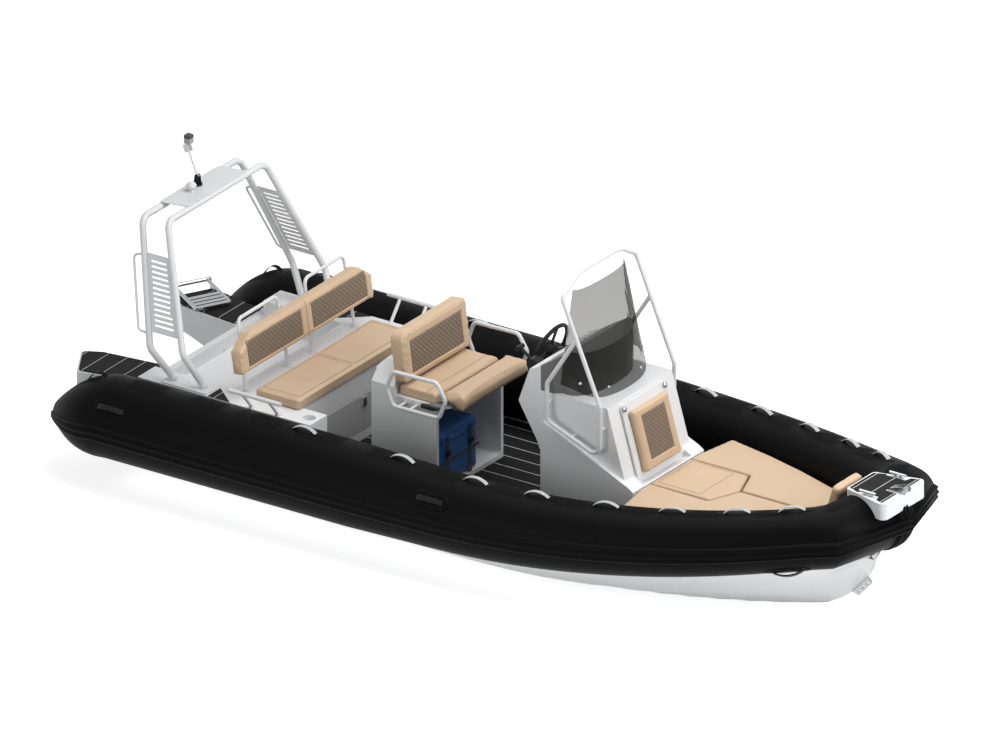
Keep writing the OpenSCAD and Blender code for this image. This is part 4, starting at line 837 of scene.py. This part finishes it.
def sew(piece, basis, origin, insets, seams, pitch):
    """Pulls in the sewn diagonals, the edges of the insets and the seams on the pad's front, and stores UV and seam.

    The depth falls off as a bell curve with the distance from the stitches.
    """
    mesh = piece.data
    co = coordinates(mesh)
    local = co @ basis
    plane = local[:, :2] - origin
    normal = np.empty(len(mesh.vertices) * 3, dtype=np.float32)
    mesh.vertex_normals.foreach_get("vector", normal)
    front = np.clip((normal.reshape(-1, 3) @ basis[:, 2] - 0.3) / 0.4, 0, 1)
    pull = np.zeros(len(co))
    for u0, u1, v0, v1 in insets:
        inside = np.minimum.reduce([plane[:, 0] - u0, u1 - plane[:, 0], plane[:, 1] - v0, v1 - plane[:, 1]])
        for sign in (1, -1):
            d = np.abs((plane[:, 0] + sign * plane[:, 1] + pitch / 2) % pitch - pitch / 2) / math.sqrt(2)
            pull = np.maximum(pull, np.where(inside > 0, bell(d, *QUILT), 0))
        pull = np.maximum(pull, bell(inside, *INSET_EDGE))
    seam = np.zeros(len(co))
    for a, b in seams:
        d = segment_distance(plane, a, b)
        pull = np.maximum(pull, bell(d, *SEAM))
        seam = np.maximum(seam, bell(d, 1, THREAD))
    local[:, 2] -= pull * front
    mesh.vertices.foreach_set("co", (local @ basis.T).astype(np.float32).ravel())
    layer = mesh.attributes.new("seam", "FLOAT", "POINT")
    layer.data.foreach_set("value", (seam * front).astype(np.float32))
    write_uv(mesh, plane)
    mesh.polygons.foreach_set("use_smooth", np.ones(len(mesh.polygons), dtype=bool))
    mesh.update()


def make_pad(name, node, body, directions, insets, seams, embossed, voxel, part=0, material=None, slot="upholstery",
             swell=0.004, cap=None):
    """One padded piece from a soft solid, or from one of its loose parts."""
    normal, up = directions
    basis = np.stack([np.cross(up, normal), up, normal], axis=1)
    points, faces = loose_parts(NODES[node].data)[part]
    local = points @ basis
    low, high = local.min(0), local.max(0)
    cap = cap or looks().stuffing_cap
    shrink = cap * 0.45
    middle = (low + high) / 2
    local = middle + (local - middle) * (1 - 2 * shrink / (high - low))
    mesh = bpy.data.meshes.new(name)
    mesh.from_pydata((local @ basis.T).tolist(), [], faces)
    piece = bpy.data.objects.new(name, mesh)
    bpy.context.scene.collection.objects.link(piece)
    stuff(piece, basis, low, high + np.array([0, 0, swell]), voxel, cap)
    origin = np.array([0.0, low[1]])
    sew(piece, basis, origin, insets, seams, looks().quilt_pitch)
    piece.data.materials.clear()
    piece.data.materials.append(material or finish_pad(name + "_cover", insets, embossed))
    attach(piece, body)
    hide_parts(node)
    return piece


class BOAT_OT_pads(bpy.types.Operator):
    """Makes the stuffed seats, backrests and the console's front pad"""

    bl_idname = "boat.pads"
    bl_label = "Seats and backrests"

    def execute(self, context):
        for pad in PADS:
            make_pad(*pad)
        return {"FINISHED"}


BOW_SEAMS = {
    "port": [((0.30, 0.55), (0.30, 1.20)), ((0.045, 0.62), (0.045, 1.28))],
    "starboard": [((-0.30, 0.55), (-0.30, 1.20)), ((-0.045, 0.62), (-0.045, 1.28))],
    "middle": rect(-0.19, 0.19, 0.04, 0.36),
}


class BOAT_OT_bow_pads(bpy.types.Operator):
    """Makes the flat cushions of the bow seating, one for each loose part of their solid"""

    bl_idname = "boat.bow_pads"
    bl_label = "Bow cushions"

    def execute(self, context):
        parts = loose_parts(NODES["bow_cushions"].data)
        for k, (points, _) in enumerate(parts):
            middle = points[:, 1].mean()
            place = "middle" if abs(middle) < 0.05 else ("port" if middle > 0 else "starboard")
            make_pad("bow_pad_" + place, "bow_cushions", "boat", UP, (), BOW_SEAMS[place], True, 0.010, part=k,
                     cap=0.005)
        return {"FINISHED"}


class BOAT_OT_bag(bpy.types.Operator):
    """Makes the cool bag in the seat pod, with its lid seam, webbing and buckles"""

    bl_idname = "boat.bag"
    bl_label = "Cool bag"

    def execute(self, context):
        front = (X_AXIS, Z_AXIS)
        seams = [((-0.40, 0.275), (0.40, 0.275)), ((-0.40, 0.287), (0.40, 0.287))]
        make_pad("cool_bag", "cooler", "boat", front, (), seams, False, 0.008, material=finish_bag(),
                 slot="blue_plastic", swell=-0.001)
        webbing = finish_webbing("black_webbing", (0.012, 0.012, 0.013))
        paint_nodes(webbing, "cooler_straps")
        plastic = finish_rubber("buckle_plastic", (0.018, 0.018, 0.019), 0.35)
        x, buckle_z, strap_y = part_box("cooler_straps")[1][0] + SEAT, 0.417, (-0.240, 0.010)
        outline = rounded_rect(-0.024, 0.024, -0.018, 0.018, 0.007)
        steps = ((0.90, 0.0), (1.0, 0.003), (1.0, 0.008), (0.85, 0.011))
        for k, y in enumerate(strap_y):
            rows = raised(outline, steps, (x, y, buckle_z), Y_AXIS, Z_AXIS)
            grid_piece(f"bag_buckle_{k}", rows, "boat", plastic)
        return {"FINISHED"}


# Painted and metal pieces

class BOAT_OT_shell(bpy.types.Operator):
    """Paints the hull, the furniture, the pipes and the metal fittings that keep their solids' shapes; the hull's paint
    carries painted light and the pipes' paint painted shade
    """

    bl_idname = "boat.shell"
    bl_label = "Shell and fittings"

    def execute(self, context):
        paint = finish_paint()
        paint_nodes(paint, "transom", "side_deck_port", "side_deck_starboard", "well_floor", "bench_locker",
                    "platform_port", "platform_starboard", "helm_pod", "console_door", "bow_locker", "bow_step")
        # The hull's paint is lighter than the other white paint: painted light, standing in for the light that the
        # white floor throws up under the tubes.
        paint_nodes(finish_paint("hull_paint_painted_light", 1.12), "hull")
        paint_nodes(finish_console(), "console")
        # The pipes' paint is a darker copy of the white paint: painted shade, so that the lit pipes read grey against
        # the white background.
        pipes = finish_paint("pipe_paint_painted_shade", 0.92, 0.0001)
        paint_nodes(pipes, "side_rails", "roll_bar", "arm_loops", "pod_handle", "screen_frame", "roll_bar_plate",
                    "slotted_panels", "antenna", "backrest_hoops")
        paint_nodes(finish_steel(), "bow_eye", "ladder_brackets", "ladder", "bolster_brackets", "bow_cleats",
                    "bow_roller", "light_mast")
        paint_nodes(finish_paint("grey_board", 0.62), "bench_door")
        black = finish_rubber("black_plastic", (0.014, 0.014, 0.015), 0.38)
        paint_nodes(black, "mast_base", "steering_column", "throttle", "steering_wheel")
        paint_nodes(finish_webbing("grey_webbing", (0.55, 0.56, 0.57)), "grab_straps")
        paint_nodes(finish_rubber("handle_rubber", (0.012, 0.012, 0.013), 0.4), "carry_handles")
        paint_nodes(finish_screen(), "windscreen")
        return {"FINISHED"}


class BOAT_OT_mats(bpy.types.Operator):
    """Gives the foam mats their straight pale lines and lays mats on the bow step and the stern's corners"""

    bl_idname = "boat.mats"
    bl_label = "Foam mats"

    def execute(self, context):
        deck = finish_foam("deck_foam", "Y", looks().plank_pitch)
        platform = finish_foam("platform_foam", "X", looks().plank_pitch)
        paint_nodes(deck, "deck_mat")
        paint_nodes(platform, "platform_mats")
        corner = np.array([(-1.868, 0.652), (-1.868, 0.790), (-1.705, 0.790)])
        rows = raised(corner, ((1, SEAT), (1, CORNER_MAT_TOP)), (0, 0, SIDE_Z), X_AXIS, Y_AXIS)
        for name, side in SIDES:
            grid_piece("corner_mat_" + name, mirrored(rows, side), "boat", platform, smooth=False)
        half = np.array([(2.575, 0.130), (2.652, 0.160), (2.664, 0.145), (2.806, 0.145), (2.818, 0.192), (2.870, 0.212),
                         (2.870, 0.048), (2.782, 0.048)])
        outline = np.concatenate([half, half[::-1] * np.array([1, -1])])
        step_top = (0, 0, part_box("bow_step")[1][2])
        rows = raised(outline, ((1, SEAT), (1, STEP_MAT_TOP)), step_top, X_AXIS, Y_AXIS)
        grid_piece("bow_step_mat", rows, "boat", platform, smooth=False)
        return {"FINISHED"}


class BOAT_OT_trim(bpy.types.Operator):
    """Adds the small fittings: door knobs, mast lamp, screen bolts, dash and locker latch"""

    bl_idname = "boat.trim"
    bl_label = "Trim"

    def execute(self, context):
        chrome = bpy.data.materials["polished_steel"]
        black = bpy.data.materials["black_plastic"]
        door_corner, knob_up, knob_out = np.array([1.0319, 0.226, 0.618]), 0.452, 0.0073
        for name, side in SIDES:
            at = mirrored(door_corner, side) + DOOR[1] * knob_up + DOOR[0] * knob_out
            turned_piece("door_knob_" + name, KNOB, at, DOOR[0], "console_lid", chrome)
        points = coordinates(NODES["light_mast"].data)
        head = points[points[:, 2] > points[:, 2].max() - 0.004].mean(0)
        square = rounded_rect(-0.024, 0.024, -0.024, 0.024, 0.006)
        for label, material, levels in (
                ("mast_light", finish_paint("lamp_grey", 0.45), LAMP), ("mast_light_cap", black, LAMP_CAP)):
            rows = raised(square, levels, head, X_AXIS, Y_AXIS)
            grid_piece(label, rows, "mast", material, smooth=False)
        self.screen_bolts(chrome)
        self.dash(black, chrome)
        latch = rounded_rect(-0.016, 0.016, -0.032, 0.032, 0.010)
        latch_y, latch_z = 0.098, 0.420
        steps = ((1.0, SEAT), (1.0, 0.004), (0.86, 0.0075))
        rows = raised(latch, steps, (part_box("bench_door")[1][0], latch_y, latch_z), Y_AXIS, Z_AXIS)
        grid_piece("locker_latch", rows, "locker_lid", black)
        return {"FINISHED"}

    def screen_bolts(self, material):
        """Two domed bolts on each side of the screen, found by a ray from outboard."""
        bpy.context.view_layer.update()
        for name, side in SIDES:
            for k, (x, y, z, turn) in enumerate(SCREEN_BOLTS):
                out = np.array([math.cos(math.radians(turn)), side * math.sin(math.radians(turn)), 0])
                start = np.array([x, side * y, z]) + 0.5 * out
                hit, at, normal, _ = NODES["windscreen"].ray_cast(start.tolist(), (-out).tolist())
                if not hit:
                    raise RuntimeError("no screen where a bolt should be")
                at = np.array(at) + np.array(normal) * SEAT
                turned_piece(f"screen_bolt_{name}_{k}", BOLT, at, normal, "boat", material, 24)

    def dash(self, black, chrome):
        """A round gauge and a row of rocker switches on the port side of the dash."""
        up = (DASH_HIGH - DASH_LOW) / np.linalg.norm(DASH_HIGH - DASH_LOW)
        out = np.cross(up, Y_AXIS)
        gauge_share, gauge_y = 0.62, 0.215
        at = DASH_LOW + (DASH_HIGH - DASH_LOW) * gauge_share + Y_AXIS * gauge_y + out * SEAT
        face = ((0.0, 0.0), (0.042, 0.0), (0.042, 0.006), (0.038, 0.009), (0.035, 0.006), (0.0, 0.006))
        turned_piece("dash_gauge", face, at, out, "boat", black, 48)
        rim = ((0.0425, 0.0), (0.0455, 0.0), (0.0455, 0.005), (0.0425, 0.007))
        turned_piece("dash_gauge_rim", rim, at, out, "boat", chrome, 48, ring=True)
        key = rounded_rect(-0.011, 0.011, -0.019, 0.019, 0.004)
        key_up, key_y, key_pitch = 0.062, 0.170, 0.030
        for k in range(4):
            centre = DASH_LOW + up * key_up + Y_AXIS * (key_y + key_pitch * k) + out * SEAT
            rows = raised(key, ((1.0, 0.0), (1.0, 0.004), (0.8, 0.008)), centre, -Y_AXIS, up)
            grid_piece(f"dash_switch_{k}", rows, "boat", black)


# Stage, camera and lights

class BOAT_OT_stage(bpy.types.Operator):
    """Sets the white floor, the soft lights and the parallel camera"""

    bl_idname = "boat.stage"
    bl_label = "Stage"

    def execute(self, context):
        scene = context.scene
        scene.view_settings.view_transform = "Standard"
        self.floor()
        self.world(scene)
        for name, at, size, power in (
                ("sky_panel", (0.8, 0.6, 6.5), 6.0, 360.0), ("key_panel", (7.0, 0.5, 4.5), 3.5, 260.0),
                ("fill_panel", (-1.5, -7.5, 2.5), 4.0, 110.0)):
            self.panel(scene, name, at, size, power)
        self.camera(scene)
        return {"FINISHED"}

    def floor(self):
        """A flat sheet that shows white, a little darker where the boat's shadow falls."""
        reach, glow_strength = 40.0, 0.72
        mesh = bpy.data.meshes.new("floor")
        mesh.from_pydata([(-reach, -reach, 0), (reach, -reach, 0), (reach, reach, 0), (-reach, reach, 0)], [],
                         [(0, 1, 2, 3)])
        sheet = bpy.data.objects.new("floor", mesh)
        bpy.context.scene.collection.objects.link(sheet)
        material = bpy.data.materials.new("floor")
        material.use_nodes = True
        tree = material.node_tree
        bsdf = tree.nodes["Principled BSDF"]
        bsdf.inputs["Base Color"].default_value = (0.9, 0.9, 0.9, 1)
        bsdf.inputs["Roughness"].default_value = 0.9
        glow = tree.nodes.new("ShaderNodeEmission")
        tree.links.new(math_node(tree, "MULTIPLY", seen_rays(tree), glow_strength), glow.inputs["Strength"])
        both = tree.nodes.new("ShaderNodeAddShader")
        tree.links.new(bsdf.outputs[0], both.inputs[0])
        tree.links.new(glow.outputs[0], both.inputs[1])
        tree.links.new(both.outputs[0], tree.nodes["Material Output"].inputs["Surface"])
        mesh.materials.append(material)

    def world(self, scene):
        """White where it is seen, and a soft even light elsewhere."""
        world = bpy.data.worlds.new("studio")
        scene.world = world
        world.use_nodes = True
        tree = world.node_tree
        back = tree.nodes["Background"]
        back.inputs["Color"].default_value = (1, 1, 1, 1)
        soft = 0.20
        tree.links.new(math_node(tree, "MULTIPLY_ADD", seen_rays(tree), 1 - soft, soft), back.inputs["Strength"])

    def panel(self, scene, name, at, size, power):
        """A square soft light that faces the boat."""
        light = bpy.data.lights.new(name, "AREA")
        light.size = size
        light.energy = power
        lamp = bpy.data.objects.new(name, light)
        scene.collection.objects.link(lamp)
        lamp.location = at
        middle = np.array([0, 0, 0.4])
        lamp.rotation_euler = Matrix(axes_from(np.array(at) - middle).tolist()).to_euler()

    def camera(self, scene):
        """A parallel camera, turned off the starboard side and lifted, with a picture of the given width."""
        turn, lift, width = math.radians(34.4), math.radians(24.5), 6.289
        shift_right, shift_up, distance = -0.1514, 0.8840, 14.0
        ca, sa, ce, se = math.cos(turn), math.sin(turn), math.cos(lift), math.sin(lift)
        right = np.array([ca, sa, 0])
        up = np.array([-sa * se, ca * se, ce])
        back = np.array([sa * ce, -ca * ce, se])
        data = bpy.data.cameras.new("camera")
        data.type = "ORTHO"
        data.ortho_scale = width
        data.clip_end = 200
        camera = bpy.data.objects.new("camera", data)
        scene.collection.objects.link(camera)
        camera.location = shift_right * right + shift_up * up + distance * back
        camera.rotation_euler = Matrix(np.stack([right, up, back], axis=1).tolist()).to_euler()
        scene.camera = camera


def seen_rays(tree):
    """1 for the rays in which the background is seen: direct, mirrored and through glass."""
    path = tree.nodes.new("ShaderNodeLightPath")
    seen = math_node(tree, "MAXIMUM", path.outputs["Is Camera Ray"], path.outputs["Is Glossy Ray"])
    return math_node(tree, "MAXIMUM", seen, path.outputs["Is Transmission Ray"])


class BOAT_PT_panel(bpy.types.Panel):
    """Lists the steps that dress the boat"""

    bl_label = "Inflatable boat"
    bl_idname = "BOAT_PT_panel"
    bl_space_type = "VIEW_3D"
    bl_region_type = "UI"
    bl_category = "Boat"

    def draw(self, context):
        for key in BoatLooks.__annotations__:
            self.layout.prop(context.scene.boat_looks, key)
        for operator in OPERATORS:
            self.layout.operator(operator.bl_idname)


OPERATORS = (BOAT_OT_stage, BOAT_OT_shell, BOAT_OT_tubes, BOAT_OT_mats, BOAT_OT_pads, BOAT_OT_bow_pads, BOAT_OT_bag,
             BOAT_OT_trim)
CLASSES = (BoatLooks, *OPERATORS, BOAT_PT_panel)


def register():
    """Makes the settings, operators and panel known."""
    for c in CLASSES:
        bpy.utils.register_class(c)
    bpy.types.Scene.boat_looks = bpy.props.PointerProperty(type=BoatLooks)


def unregister():
    """Takes them away again."""
    del bpy.types.Scene.boat_looks
    for c in reversed(CLASSES):
        bpy.utils.unregister_class(c)


def main():
    """Dresses the boat."""
    register()
    build_groups()
    bpy.ops.boat.stage()
    bpy.ops.boat.shell()
    bpy.ops.boat.tubes()
    bpy.ops.boat.mats()
    bpy.ops.boat.pads()
    bpy.ops.boat.bow_pads()
    bpy.ops.boat.bag()
    bpy.ops.boat.trim()


if __name__ == "__main__":
    main()
